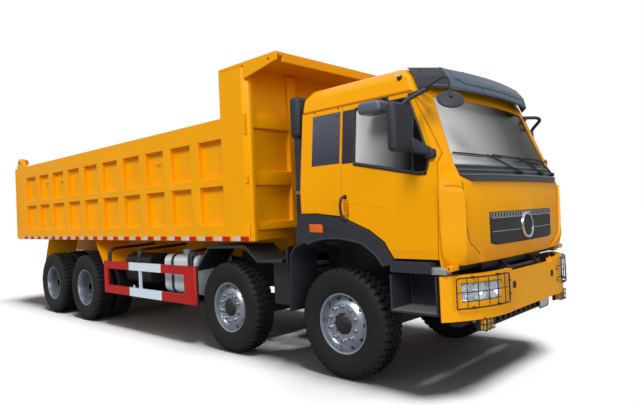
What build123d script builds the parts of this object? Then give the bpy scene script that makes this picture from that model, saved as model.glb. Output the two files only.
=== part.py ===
from build123d import *
import os

# Eight-by-four tipper truck, in millimetres: +X forward, +Y to the truck's left, +Z up.
# Every x below is counted from the front axle. save() then moves each piece so that
# the origin is on the ground under the middle of the truck's length.

os.makedirs("parts", exist_ok=True)

# Driving dimensions
MIDDLE = 3608            # front axle, forward of the middle of the length
TYRE_R = 543
AXLE_Z = TYRE_R
STEER_AXLES = (("1", 0), ("2", -1800))
DRIVE_AXLES = (("3", -5660), ("4", -7010))
STEER_TYRE_Y = 1005      # middle of a steered tyre
TWIN_OUTER_Y = 1075      # middle of the outer twin tyre
TWIN_SPACING = 340
KINGPIN_Y = 860
RAIL_Y = 430             # outer face of a frame rail
RAIL_Z = (760, 1060)
RAIL_X = (-8130, 1150)
RAIL_FLANGE = 80
RAIL_WALL = 10
SIDES = (("right", -1), ("left", 1))
WHEEL_SIDES = 30         # flats round a tyre or a rim
ROD_SIDES = 12           # flats round a plain bar

# Load bed
BED_X = (-8600, -1300)   # inner faces of the tail end and of the front wall
BED_IN_Y = 1150          # half width of the load space
BED_SKIN = 30
BED_OUT_Y = 1250         # outer face of ribs and rails
FLOOR_Z = (1510, 1540)
SKIRT_Z = (1348, 1540)
MID_RAIL_Z = (2000, 2100)
TOP_RAIL_Z = (2555, 2792)
FRONT_POST_X = (-1670, -1215)
FRONT_POST_TOP = 3366
CANOPY_FRONT_X = -660
BED_HINGE = (-8050, 1170)
HOIST_BASE = (-750, 1000)
HOIST_TOP = (-800, 2800)
WALL_RECESS_X = (-1360, -1330)   # the front wall's middle, set back for the hoist
WALL_RECESS_Y = (430, 460)
GATE_HINGE = (-8400, 2900)
GATE_X = (-8700, -8612)

# Cab
CAB_WALL = 45
CAB_PIVOT = (1330, 1050)
GUTTER_Z = 2655
DOOR_GAP = 7
DOOR_REAR_X = 148
GLASS_INSET = (12, 20)


def side_plane(y):
    """Plane of the truck's right-hand view at distance y to the left."""
    return Plane(origin=(0, y, 0), x_dir=(1, 0, 0), z_dir=(0, -1, 0))


def cross_plane(x):
    """Plane across the truck at x, whose own x runs to the left and y runs up."""
    return Plane(origin=(x, 0, 0), x_dir=(0, 1, 0), z_dir=(1, 0, 0))


def block(xs, ys, zs, mode=Mode.ADD):
    """A box between two values along each axis."""
    with Locations(((xs[0] + xs[1]) / 2, (ys[0] + ys[1]) / 2, (zs[0] + zs[1]) / 2)):
        Box(abs(xs[1] - xs[0]), abs(ys[1] - ys[0]), abs(zs[1] - zs[0]), mode=mode)


def side_prism(points, ys, mode=Mode.ADD):
    """An outline seen from the truck's side, as thick as the two values of y."""
    with BuildSketch(side_plane(max(ys))) as outline:
        Polygon(*points, align=None)
    extrude(outline.sketch, amount=abs(ys[1] - ys[0]), mode=mode)


def cross_prism(points, xs, mode=Mode.ADD):
    """An outline seen from the front, between two values of x."""
    with BuildSketch(cross_plane(min(xs))) as outline:
        Polygon(*points, align=None)
    extrude(outline.sketch, amount=abs(xs[1] - xs[0]), mode=mode)


def rod(start, end, radius, mode=Mode.ADD, sides=ROD_SIDES):
    """A bar from one point to another, round or with as many sides as given."""
    path = Vector(*end) - Vector(*start)
    with BuildSketch(Plane(origin=start, z_dir=path)) as section:
        if sides:
            RegularPolygon(radius, sides)
        else:
            Circle(radius)
    extrude(section.sketch, amount=path.length, mode=mode)


def turned(stations, mode=Mode.ADD, centre=(0, 0, 0), sides=WHEEL_SIDES):
    """A many-sided turned shape for the right-hand side, from distance outboard and radius."""
    sections = []
    for reach, radius in stations:
        origin = (centre[0], centre[1] - reach, centre[2])
        with BuildSketch(Plane(origin=origin, x_dir=(1, 0, 0), z_dir=(0, 1, 0))) as section:
            RegularPolygon(radius, sides)
        sections.append(section.sketch)
    loft(sections, ruled=True, mode=mode)


def save(made, name):
    """Label a finished piece and store it in the truck's own frame."""
    made.part.locate(Location((MIDDLE, 0, 0)))
    made.part.label = name
    export_step(made.part, f"parts/{name}.step")


# Wheels
# Stations list the distance outboard of the tyre's middle, and the radius.
TYRE_OUTSIDE = ((-150, 400), (-146, 500), (-112, TYRE_R), (112, TYRE_R), (146, 500), (150, 400))
TYRE_BEAD = ((100, 290), (151, 402))
RIM_OUTSIDE = ((-123, 298), (-110, 298), (-102, 284), (102, 284), (110, 298), (123, 298))
RIM_MOUTH = ((62, 264), (124, 275))
STEER_DISC = ((60, 268), (108, 200))
STEER_DISC_INSIDE = ((40, 250), (93, 182))
HUB = ((-60, 84), (125, 84), (146, 66))
STUB_BORE = ((-61, 42), (12, 42))
TWIN_MIDDLE = -TWIN_SPACING / 2
TWIN_DISC = ((-150, 192), (-60, 262), (-48, 276))
TWIN_DISC_MOUTH = ((-140, 172), (-40, 255))
TWIN_HUB = ((-160, 118), (-60, 118), (-40, 90))
DRUM = ((-425, 205), (-184, 205))
AXLE_TUBE_R = 72
AXLE_BORE = ((-430, 82), (-214, 82))

with BuildPart() as tyre:
    turned(TYRE_OUTSIDE)
    turned(((-152, 290), (152, 290)), Mode.SUBTRACT)
    for outward in (1, -1):
        turned([(outward * reach, radius) for reach, radius in TYRE_BEAD], Mode.SUBTRACT)

with BuildPart() as steer_rim:
    turned(RIM_OUTSIDE)
    turned(((-124, 274), (46, 262)), Mode.SUBTRACT)
    turned(RIM_MOUTH, Mode.SUBTRACT)
    turned(STEER_DISC)
    turned(STEER_DISC_INSIDE, Mode.SUBTRACT)
    turned(HUB, sides=ROD_SIDES)
    turned(STUB_BORE, Mode.SUBTRACT, sides=ROD_SIDES)

with BuildPart() as twin_rim:
    turned(RIM_OUTSIDE)
    turned(((-124, 274), (124, 274)), Mode.SUBTRACT)
    turned(TWIN_DISC)
    turned(TWIN_DISC_MOUTH, Mode.SUBTRACT)
    turned(((TWIN_MIDDLE, 196), (-150, 192)))
    mirror(about=Plane.XZ.offset(TWIN_MIDDLE))
    turned(DRUM)
    turned(TWIN_HUB, sides=ROD_SIDES)
    turned(AXLE_BORE, Mode.SUBTRACT, sides=ROD_SIDES)


def outboard(side, x, y):
    """Place a wheel made for the right-hand side on either side of the truck."""
    turn = 0 if side < 0 else 180
    return Location((x, side * y, AXLE_Z), (0, 0, turn))


for number, axle_x in STEER_AXLES:
    for side_name, side in SIDES:
        place = outboard(side, axle_x, STEER_TYRE_Y)
        with BuildPart() as placed_tyre:
            with Locations(place):
                add(tyre.part)
        save(placed_tyre, f"tyre_{number}_{side_name}")
        with BuildPart() as placed_rim:
            with Locations(place):
                add(steer_rim.part)
        save(placed_rim, f"rim_{number}_{side_name}")

for number, axle_x in DRIVE_AXLES:
    for side_name, side in SIDES:
        place = outboard(side, axle_x, TWIN_OUTER_Y)
        with BuildPart() as placed_tyre:
            with Locations(place, outboard(side, axle_x, TWIN_OUTER_Y - TWIN_SPACING)):
                add(tyre.part)
        save(placed_tyre, f"tyres_{number}_{side_name}")
        with BuildPart() as placed_rim:
            with Locations(place):
                add(twin_rim.part)
        save(placed_rim, f"rims_{number}_{side_name}")

# Steered hubs
# The kingpin stands in the end of the axle beam, and the stub axle carries the wheel.
KINGPIN_R = 28
BEAM_EYE_R = 45
BEAM_EYE_Z = (475, 600)
BACKPLATE_Y = (920, 934)

for number, axle_x in STEER_AXLES:
    for side_name, side in SIDES:
        with BuildPart() as knuckle:
            with Locations((axle_x, side * KINGPIN_Y, 540)):
                Cylinder(KINGPIN_R, 250)
            for ear in ((415, 465), (610, 665)):
                block((axle_x - 42, axle_x + 42), (side * 815, side * BACKPLATE_Y[0]), ear)
            block((axle_x - 70, axle_x + 70), (side * 912, side * BACKPLATE_Y[1]), (400, 690))
            rod((axle_x, side * BACKPLATE_Y[0], AXLE_Z), (axle_x, side * BACKPLATE_Y[1], AXLE_Z), 200)
            rod((axle_x, side * BACKPLATE_Y[0], AXLE_Z), (axle_x, side * 1000, AXLE_Z), 35)
        save(knuckle, f"knuckle_{number}_{side_name}")

# Axles, springs and driveline
BEAM_OUTLINE = ((-840, 600), (-760, 600), (-660, 480), (660, 480), (760, 600), (840, 600),
                (840, 475), (740, 475), (640, 385), (-640, 385), (-740, 475), (-840, 475))

with BuildPart() as steer_axles:
    for number, axle_x in STEER_AXLES:
        cross_prism(BEAM_OUTLINE, (axle_x - 48, axle_x + 48))
        for side_name, side in SIDES:
            with Locations((axle_x, side * KINGPIN_Y, sum(BEAM_EYE_Z) / 2)):
                Cylinder(BEAM_EYE_R, BEAM_EYE_Z[1] - BEAM_EYE_Z[0])
                Cylinder(KINGPIN_R + 0.5, BEAM_EYE_Z[1] - BEAM_EYE_Z[0], mode=Mode.SUBTRACT)
save(steer_axles, "steer_axles")

PUMPKIN = ((-280, 66), (-150, 185), (-60, 205), (60, 205), (150, 185), (280, 66))
with BuildPart() as drive_axles:
    for number, axle_x in DRIVE_AXLES:
        rod((axle_x, -795, AXLE_Z), (axle_x, 795, AXLE_Z), AXLE_TUBE_R)
        turned(PUMPKIN, centre=(axle_x, 0, AXLE_Z), sides=18)
        rod((axle_x, 0, 590), (axle_x + 340, 0, 590), 105)
    rod((-5330, 0, 590), (-1445, 0, 690), 55)
    rod((-6680, 0, 590), (-5850, 0, 590), 50)
save(drive_axles, "drive_axles")

SPRING_Y = (385, 475)
STEER_SPRING_HALF = 700
BOGIE_X = (DRIVE_AXLES[0][1] + DRIVE_AXLES[1][1]) / 2
with BuildPart() as leaf_springs:
    for number, axle_x in STEER_AXLES:
        front_end = axle_x + STEER_SPRING_HALF
        rear_end = axle_x - STEER_SPRING_HALF
        with BuildSketch(side_plane(-SPRING_Y[0])):
            with BuildLine():
                ThreePointArc((rear_end, 702), (axle_x, 612), (front_end, 702))
                Line((front_end, 702), (front_end, 680))
                ThreePointArc((front_end, 680), (axle_x, 535), (rear_end, 680))
                Line((rear_end, 680), (rear_end, 702))
            make_face()
        extrude(amount=SPRING_Y[1] - SPRING_Y[0])
        block((axle_x - 75, axle_x + 75), (-SPRING_Y[1], -SPRING_Y[0]), (480, 560))
        for hanger_x in (front_end, rear_end):
            block((hanger_x - 45, hanger_x + 25), (-RAIL_Y, -SPRING_Y[0]), (670, RAIL_Z[0]))
    half_bogie = DRIVE_AXLES[0][1] - BOGIE_X
    with BuildSketch(side_plane(-SPRING_Y[0])):
        with BuildLine():
            ThreePointArc((BOGIE_X - half_bogie, 650), (BOGIE_X, 742), (BOGIE_X + half_bogie, 650))
            Line((BOGIE_X + half_bogie, 650), (BOGIE_X + half_bogie, 620))
            ThreePointArc((BOGIE_X + half_bogie, 620), (BOGIE_X, 640), (BOGIE_X - half_bogie, 620))
            Line((BOGIE_X - half_bogie, 620), (BOGIE_X - half_bogie, 650))
        make_face()
    extrude(amount=SPRING_Y[1] - SPRING_Y[0])
    block((BOGIE_X - 130, BOGIE_X + 130), (-500, -SPRING_Y[0]), (560, 645))
    block((BOGIE_X - 130, BOGIE_X + 130), (-500, -476), (560, 900))
    block((BOGIE_X - 130, BOGIE_X + 130), (-500, -RAIL_Y), (780, 900))
    mirror(about=Plane.XZ)
save(leaf_springs, "leaf_springs")

with BuildPart() as powertrain:
    block((-560, 480), (-320, 320), (560, 1130))
    block((-1440, -560), (-230, 230), (570, 850))
    block((600, 740), (-335, 335), (640, 1170))
    block((480, 600), (-120, 120), (800, 1000))
save(powertrain, "powertrain")

# Frame
# Crossmembers are listed by x, with their height from and to.
CROSSMEMBERS = ((1090, 780, 1040), (-1830, 820, 1020), (-2900, 780, 1040), (-4200, 780, 1040),
                (-5200, 820, 1040), (-6335, 820, 1040), (-7500, 820, 1040), (-8090, 780, 1040))
HOIST_EAR_Y = (66, 96)
PIVOT_EAR_Y = (345, 385)
with BuildPart() as chassis_frame:
    with BuildSketch(cross_plane(RAIL_X[0])):
        with Locations((-RAIL_Y + RAIL_FLANGE / 2, sum(RAIL_Z) / 2)):
            Rectangle(RAIL_FLANGE, RAIL_Z[1] - RAIL_Z[0])
        with Locations((-RAIL_Y + RAIL_WALL + RAIL_FLANGE / 2, sum(RAIL_Z) / 2)):
            Rectangle(RAIL_FLANGE, RAIL_Z[1] - RAIL_Z[0] - 2 * RAIL_WALL, mode=Mode.SUBTRACT)
    extrude(amount=RAIL_X[1] - RAIL_X[0])
    block((-330, -240), (-RAIL_Y, -360), (1050, 1405))
    block((1130, 1390), (-RAIL_Y, -PIVOT_EAR_Y[1] - 5), (790, 960))
    block((1110, 1200), (-1000, 0), (620, 700))
    block((1110, 1150), (-RAIL_Y, -350), (700, RAIL_Z[0]))
    block((1198, 1206), (-770, -500), (615, 695))
    side_prism(((1050, 1060), (1050, 1050), (1150, 940), (1200, 940), (1365, 1020), (1365, 1080),
                (1290, 1085)), (-PIVOT_EAR_Y[1], -PIVOT_EAR_Y[0]))
    block((1040, 1150), (-RAIL_Y + 5, -PIVOT_EAR_Y[0]), (940, 1055))
    side_prism(((-8130, 1058), (-7930, 1058), (-8010, 1205), (-8090, 1205)), (-RAIL_Y, -RAIL_Y + 30))
    mirror(about=Plane.XZ)
    for x, low, high in CROSSMEMBERS:
        block((x - 40, x + 40), (-RAIL_Y + 5, RAIL_Y - 5), (low, high))
    block((HOIST_BASE[0] - 90, HOIST_BASE[0] + 90), (-RAIL_Y + 5, RAIL_Y - 5), (866, 900))
    for side_name, side in SIDES:
        side_prism(((HOIST_BASE[0] - 90, 890), (HOIST_BASE[0] + 90, 890), (HOIST_BASE[0] + 45, 1045),
                    (HOIST_BASE[0] - 45, 1045)), (side * HOIST_EAR_Y[0], side * HOIST_EAR_Y[1]))
    with Locations((HOIST_BASE[0], 0, HOIST_BASE[1])):
        Cylinder(28, 2 * HOIST_EAR_Y[1] + 20, rotation=(90, 0, 0))
    with Locations((CAB_PIVOT[0], 0, CAB_PIVOT[1])):
        Cylinder(22, 2 * PIVOT_EAR_Y[1], rotation=(90, 0, 0))
    with Locations((BED_HINGE[0], 0, BED_HINGE[1])):
        Cylinder(24, 2 * RAIL_Y + 40, rotation=(90, 0, 0))
save(chassis_frame, "chassis_frame")

# Load bed
# Ribs are listed by their middle; each is as wide as RIB_WIDTH.
RIB_X = (-7500, -6870, -6190, -5540, -4870, -4190, -3530, -2880, -2240)
RIB_WIDTH = 180
REAR_POST_X = (-8590, -8110)
BEAM_Y = (350, 430)
BEAM_Z = (1075, SKIRT_Z[0])
FLAP_Y = (600, 1148)
with BuildPart() as bed_sides:
    block((BED_X[0], FRONT_POST_X[1]), (-BED_IN_Y - BED_SKIN, -BED_IN_Y), (FLOOR_Z[0], TOP_RAIL_Z[1]))
    block((BED_X[0], FRONT_POST_X[1]), (-BED_OUT_Y, -BED_IN_Y), SKIRT_Z)
    for rail_z in (MID_RAIL_Z, TOP_RAIL_Z):
        block((BED_X[0], FRONT_POST_X[1]), (-BED_OUT_Y, -BED_IN_Y), rail_z)
    for rib_x in RIB_X:
        block((rib_x - RIB_WIDTH / 2, rib_x + RIB_WIDTH / 2), (-BED_OUT_Y, -BED_IN_Y),
              (SKIRT_Z[1], TOP_RAIL_Z[0]))
    block(REAR_POST_X, (-BED_OUT_Y, -BED_IN_Y), (SKIRT_Z[1], TOP_RAIL_Z[0]))
    with BuildSketch(Plane.XY.offset(SKIRT_Z[0])) as post:
        Polygon((FRONT_POST_X[0], -BED_OUT_Y), (FRONT_POST_X[1] - 45, -BED_OUT_Y),
                (FRONT_POST_X[1], -BED_OUT_Y + 55), (FRONT_POST_X[1], -BED_IN_Y),
                (FRONT_POST_X[0], -BED_IN_Y), align=None)
    extrude(post.sketch, amount=FRONT_POST_TOP - 40 - SKIRT_Z[0])
    side_prism(((-8590, 2790), (-8110, 2790), (-8300, 2940), (-8360, 2970), (-8440, 2970),
                (-8500, 2940)), (-BED_OUT_Y, -BED_OUT_Y + 50))
    rod((GATE_HINGE[0], -BED_OUT_Y + 20, GATE_HINGE[1]), (GATE_HINGE[0], -1090, GATE_HINGE[1]), 24)
    mirror(about=Plane.XZ)
save(bed_sides, "bed_sides")

# The mudguard flaps that hang from the floor, seen from the side
FLAP_FRONT = ((-5340, 1350), (-5040, 950), (-4900, 950), (-4900, 942), (-5046, 942), (-5350, 1350))
FLAP_REAR = ((-7293, 1350), (-7500, 940), (-7643, 660), (-7651, 664), (-7509, 944), (-7303, 1350))

CROSS_BEARER_X = (-8500, -7900, -7290, -6600, -5950, -5320, -4650, -4000, -3350, -2700, -2050, -1400)
with BuildPart() as bed_floor:
    block((BED_X[0], WALL_RECESS_X[0]), (-BED_IN_Y, BED_IN_Y), FLOOR_Z)
    for bearer_x in CROSS_BEARER_X:
        block((bearer_x - 45, bearer_x + 45), (-BED_IN_Y, BED_IN_Y), (SKIRT_Z[0], FLOOR_Z[0]))
    for side_name, side in SIDES:
        block((WALL_RECESS_X[0], BED_X[1]), (side * WALL_RECESS_Y[1], side * BED_IN_Y), FLOOR_Z)
        block((BED_HINGE[0] + 120, -1380), (side * BEAM_Y[0], side * BEAM_Y[1]),
              (BEAM_Z[0], FLOOR_Z[0]))
        with BuildSketch(side_plane(side * 375 + 20)):
            with Locations(BED_HINGE):
                Circle(62)
            Polygon((-8110, 1180), (-8110, 1400), (-7800, 1400), (-7800, 1080), (-8020, 1108),
                    align=None)
            with Locations(BED_HINGE):
                Circle(26, mode=Mode.SUBTRACT)
        extrude(amount=40)
    for outline in (FLAP_FRONT, FLAP_REAR):
        for side_name, side in SIDES:
            side_prism(outline, (side * FLAP_Y[0], side * FLAP_Y[1]))
save(bed_floor, "bed_floor")

# The front wall carries the canopy over the cab.
WALL_BASE_Z = 1348
CANOPY_Z = (3326, 3366)
with BuildPart() as bed_front_wall:
    block((BED_X[1], BED_X[1] + 30), (-BED_IN_Y, -430), (FLOOR_Z[0], FRONT_POST_TOP - 40))
    block(WALL_RECESS_X, (-WALL_RECESS_Y[1], WALL_RECESS_Y[1]), (FLOOR_Z[0], FRONT_POST_TOP - 40))
    block((WALL_RECESS_X[0], BED_X[1] + 30), (-WALL_RECESS_Y[1], -WALL_RECESS_Y[0]),
          (FLOOR_Z[0], FRONT_POST_TOP - 40))
    for rib_z in ((1466, 1560), (1980, 2145), (2635, 2800)):
        block((BED_X[1] + 30, BED_X[1] + 90), (-BED_IN_Y, -430), rib_z)
    block((BED_X[1] + 30, BED_X[1] + 90), (-570, -430), (1466, 3300))
    block((BED_X[1], BED_X[1] + 30), (-BED_IN_Y, -430), (WALL_BASE_Z, FLOOR_Z[0]))
    mirror(about=Plane.XZ)
    for side_name, side in SIDES:
        side_prism(((WALL_RECESS_X[1], 2640), (WALL_RECESS_X[1], 2920), (HOIST_TOP[0] - 60, 2850),
                    (HOIST_TOP[0] + 50, 2840), (HOIST_TOP[0] + 50, 2760), (HOIST_TOP[0] - 60, 2750)),
                   (side * 70, side * 100))
        side_prism(((FRONT_POST_X[1], 3170), (FRONT_POST_X[1], CANOPY_Z[0]),
                    (CANOPY_FRONT_X, CANOPY_Z[0]), (CANOPY_FRONT_X, 3270)),
                   (side * (BED_OUT_Y - 30), side * BED_OUT_Y))
    block((FRONT_POST_X[0], CANOPY_FRONT_X), (-BED_OUT_Y, BED_OUT_Y), CANOPY_Z)
    block((CANOPY_FRONT_X - 40, CANOPY_FRONT_X), (-BED_IN_Y, BED_IN_Y), (3260, CANOPY_Z[0]))
save(bed_front_wall, "bed_front_wall")

with BuildPart() as tailgate:
    block(GATE_X, (-BED_OUT_Y, BED_OUT_Y), (1360, 2780))
    for pocket_y in (-930, -310, 310, 930):
        for pocket_z in ((1460, 1990), (2100, 2640)):
            block((GATE_X[0], GATE_X[0] + 50), (pocket_y - 250, pocket_y + 250), pocket_z,
                  mode=Mode.SUBTRACT)
    for side_name, side in SIDES:
        with BuildSketch(side_plane(side * 1120 + 20)):
            Polygon((-8690, 2700), (-8690, 2860), (-8430, 2950), (-8370, 2950), (-8370, 2850),
                    (-8440, 2850), (-8612, 2800), (-8612, 2700), align=None)
            with Locations(GATE_HINGE):
                Circle(26, mode=Mode.SUBTRACT)
        extrude(amount=40)
save(tailgate, "tailgate")

# Hoist
# Each stage is listed by name, outer radius, inner radius, top and bottom.
HOIST_STAGES = (("hoist_barrel", 122, 108, 1700, 100), ("hoist_stage_1", 104, 93, 1711, 126),
                ("hoist_stage_2", 89, 78, 1722, 152), ("hoist_stage_3", 74, 63, 1733, 178),
                ("hoist_stage_4", 59, 0, 1755, 204))
HOIST_PLANE = Plane(origin=(HOIST_BASE[0], 0, HOIST_BASE[1]), x_dir=(0, 1, 0),
                    z_dir=(HOIST_TOP[0] - HOIST_BASE[0], 0, HOIST_TOP[1] - HOIST_BASE[1]))
for name, outer, inner, top, bottom in HOIST_STAGES:
    with BuildPart() as stage:
        with BuildSketch(HOIST_PLANE.offset(bottom)):
            Circle(outer)
        extrude(amount=top - bottom)
        if inner:
            with BuildSketch(HOIST_PLANE.offset(bottom + 20)):
                Circle(inner)
            extrude(amount=top, mode=Mode.SUBTRACT)
        if name == "hoist_barrel":
            with BuildSketch(HOIST_PLANE):
                Rectangle(100, 90)
            extrude(amount=bottom + 10)
            rod((HOIST_BASE[0], -58, HOIST_BASE[1]), (HOIST_BASE[0], 58, HOIST_BASE[1]), 62)
            rod((HOIST_BASE[0], -70, HOIST_BASE[1]), (HOIST_BASE[0], 70, HOIST_BASE[1]), 30,
                mode=Mode.SUBTRACT)
        if name == "hoist_stage_4":
            rod((HOIST_TOP[0], -55, HOIST_TOP[1]), (HOIST_TOP[0], 55, HOIST_TOP[1]), 60)
            rod((HOIST_TOP[0], -60, HOIST_TOP[1]), (HOIST_TOP[0], 60, HOIST_TOP[1]), 28,
                mode=Mode.SUBTRACT)
    save(stage, name)

# Cab shell
# Sections are listed by height, half width, rear x, x where the side ends, the corner's
# x and y, and x at the middle of the front.
CAB_SECTIONS = ((1150, 1225, -390, 1160, 1290, 1035, 1335),
                (1290, 1240, -395, 1182, 1322, 1050, 1398),
                (1850, 1240, -395, 1212, 1322, 1050, 1398),
                (1985, 1229, -395, 1200, 1252, 1070, 1330),
                (GUTTER_Z, 1160, -395, 950, 992, 948, 1062))
ROOF_SECTIONS = ((GUTTER_Z, 1160, -395, 950, 992, 948, 1062),
                 (2800, 1128, -388, 890, 930, 905, 996),
                 (2885, 1050, -330, 800, 840, 820, 900),
                 (2940, 880, -190, 640, 680, 660, 740))
# The visor's sections stop short of the roof at end_x, and are VISOR_WALL thick.
# Columns: height, half width, end_x, corner x, corner y, x at the middle of the front.
VISOR_SECTIONS = ((2690, 1105, 962, 1105, 870, 1190),
                  (2800, 1095, 918, 1085, 850, 1165),
                  (2890, 1040, 834, 1030, 800, 1105),
                  (2935, 930, 740, 920, 700, 990))
VISOR_WALL = 24


def plan_loft(sections, inset=0, drop=0, mode=Mode.ADD):
    """Loft plan outlines, each drawn in by the inset and lowered by the drop."""
    outlines = []
    for z, half, rear, side_x, corner_x, corner_y, centre_x in sections:
        half, rear, corner_y = half - inset, rear + inset, corner_y - inset
        side_x, corner_x, centre_x = side_x - inset * 0.6, corner_x - inset, centre_x - inset
        with BuildSketch(Plane.XY.offset(z - drop)) as outline:
            with BuildLine():
                Polyline((corner_x, -corner_y), (side_x, -half), (rear, -half), (rear, half),
                         (side_x, half), (corner_x, corner_y))
                ThreePointArc((corner_x, corner_y), (centre_x, 0), (corner_x, -corner_y))
            make_face()
        outlines.append(outline.sketch)
    loft(outlines, ruled=True, mode=mode)


def front_x(y, z):
    """Forward reach of the cab's front at a width and a height."""
    for low, high in zip(CAB_SECTIONS, CAB_SECTIONS[1:]):
        if low[0] <= z <= high[0]:
            share = (z - low[0]) / (high[0] - low[0])
            corner_x, corner_y, centre_x = (a + share * (b - a) for a, b in zip(low[4:], high[4:]))
            return centre_x - (centre_x - corner_x) * (y / corner_y) ** 2


with BuildPart() as cab_outside:
    plan_loft(CAB_SECTIONS)
with BuildPart() as cab_inside:
    plan_loft(CAB_SECTIONS, inset=CAB_WALL)
with BuildPart() as glass_outside:
    plan_loft(CAB_SECTIONS, inset=GLASS_INSET[0])
with BuildPart() as glass_inside:
    plan_loft(CAB_SECTIONS, inset=GLASS_INSET[1])
with BuildPart() as cab_wall:
    add(cab_outside.part)
    add(cab_inside.part, mode=Mode.SUBTRACT)
with BuildPart() as glass_layer:
    add(glass_outside.part)
    add(glass_inside.part, mode=Mode.SUBTRACT)

# Outlines seen from the side: the wheel arch, the door, and what is in front of the door.
ARCH_TOP = ((-468, 1393), (-438, 1538), (-394, 1628), (-181, 1622), (166, 1579), (478, 1451),
            (632, 1347), (720, 1200))
DOOR_FRONT = ((1167, 1212), (1200, 1873), (1183, 2090), (938, GUTTER_Z - DOOR_GAP))
DOOR_OUTLINE = ((DOOR_REAR_X + DOOR_GAP, 1590), (478, 1463), (640, 1356), (728, 1212),
                *DOOR_FRONT, (DOOR_REAR_X + DOOR_GAP, GUTTER_Z - DOOR_GAP))
FRONT_OUTLINE = ((1174, 1150), (1174, 1212), (1207, 1873), (1190, 2090), (944, GUTTER_Z),
                 (1500, GUTTER_Z), (1500, 1150))
DOOR_WINDOW = ((310, 2080), (1095, 1912), (1110, 2080), (905, 2600), (310, 2600))
REAR_WINDOW = ((-240, 2100), (125, 2100), (125, 2600), (-240, 2600))
WINDSCREEN = ((-1048, 1992), (1048, 1992), (930, 2628), (-930, 2628))
QUARTER_OUTLINE = ((-350, 1632), (-181, 1630), (DOOR_REAR_X, 1592), (DOOR_REAR_X, GUTTER_Z),
                   (-350, GUTTER_Z))
CAB_SPAN_Y = 1400
HANDLE_X = 190
HANDLE_Z = (1610, 1750)
FLARE_Y = (1200, 1262)

for side_name, side in SIDES:
    with BuildPart() as door:
        add(cab_wall.part)
        side_prism(DOOR_OUTLINE, (side * 900, side * CAB_SPAN_Y), mode=Mode.INTERSECT)
        side_prism(DOOR_WINDOW, (side * 900, side * CAB_SPAN_Y), mode=Mode.SUBTRACT)
        for handle_z in HANDLE_Z:
            rod((HANDLE_X, side * 1225, handle_z), (HANDLE_X, side * 1280, handle_z), 13)
        rod((HANDLE_X, side * 1275, HANDLE_Z[0] - 12), (HANDLE_X, side * 1275, HANDLE_Z[1] + 12), 14)
    save(door, f"door_{side_name}")
    with BuildPart() as door_glass:
        add(glass_layer.part)
        side_prism(DOOR_WINDOW, (side * 900, side * CAB_SPAN_Y), mode=Mode.INTERSECT)
    save(door_glass, f"door_glass_{side_name}")

with BuildPart() as cab_sides:
    add(cab_wall.part)
    side_prism(QUARTER_OUTLINE, (-CAB_SPAN_Y, CAB_SPAN_Y), mode=Mode.INTERSECT)
    side_prism(REAR_WINDOW, (-CAB_SPAN_Y, CAB_SPAN_Y), mode=Mode.SUBTRACT)
save(cab_sides, "cab_sides")

# The corner deflectors stand proud of the front panel, from the door's shut line to its foot.
DEFLECTOR_PROUD = 24
DEFLECTOR_X = (1213, 1400)
DEFLECTOR_OUTLINE = ((-1300, 1835), (-1105, 1820), (-1068, 1740), (-1062, 1400), (-1010, 1290),
                     (-760, 1180), (-760, 1160), (-1300, 1160))
with BuildPart() as deflectors:
    plan_loft(CAB_SECTIONS, inset=-DEFLECTOR_PROUD)
    add(cab_outside.part, mode=Mode.SUBTRACT)
    cross_prism(DEFLECTOR_OUTLINE, DEFLECTOR_X, mode=Mode.INTERSECT)
    mirror(about=Plane.XZ)
with BuildPart() as cab_front_panel:
    add(cab_wall.part)
    side_prism(FRONT_OUTLINE, (-CAB_SPAN_Y, CAB_SPAN_Y), mode=Mode.INTERSECT)
    cross_prism(WINDSCREEN, (900, 1500), mode=Mode.SUBTRACT)
    add(deflectors.part)
save(cab_front_panel, "cab_front_panel")

with BuildPart() as cab_back_wall:
    add(cab_outside.part)
    block((-400, -350), (-CAB_SPAN_Y, CAB_SPAN_Y), (1410, GUTTER_Z), mode=Mode.INTERSECT)
    for side_name, side in SIDES:
        block((-400, -350), (side * (FLARE_Y[0] - 2), side * CAB_SPAN_Y), (1400, 1632),
              mode=Mode.SUBTRACT)
save(cab_back_wall, "cab_back_wall")

with BuildPart() as side_glass:
    add(glass_layer.part)
    side_prism(REAR_WINDOW, (-CAB_SPAN_Y, CAB_SPAN_Y), mode=Mode.INTERSECT)
with BuildPart() as windscreen:
    add(glass_layer.part)
    cross_prism(WINDSCREEN, (900, 1500), mode=Mode.INTERSECT)
with BuildPart() as cab_glass:
    add(side_glass.part)
    add(windscreen.part)
save(cab_glass, "cab_glass")

with BuildPart() as roof_outside:
    plan_loft(ROOF_SECTIONS)
with BuildPart() as roof_inside:
    plan_loft(ROOF_SECTIONS, inset=40, drop=35)
with BuildPart() as cab_roof:
    add(roof_outside.part)
    add(roof_inside.part, mode=Mode.SUBTRACT)
save(cab_roof, "cab_roof")

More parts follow.
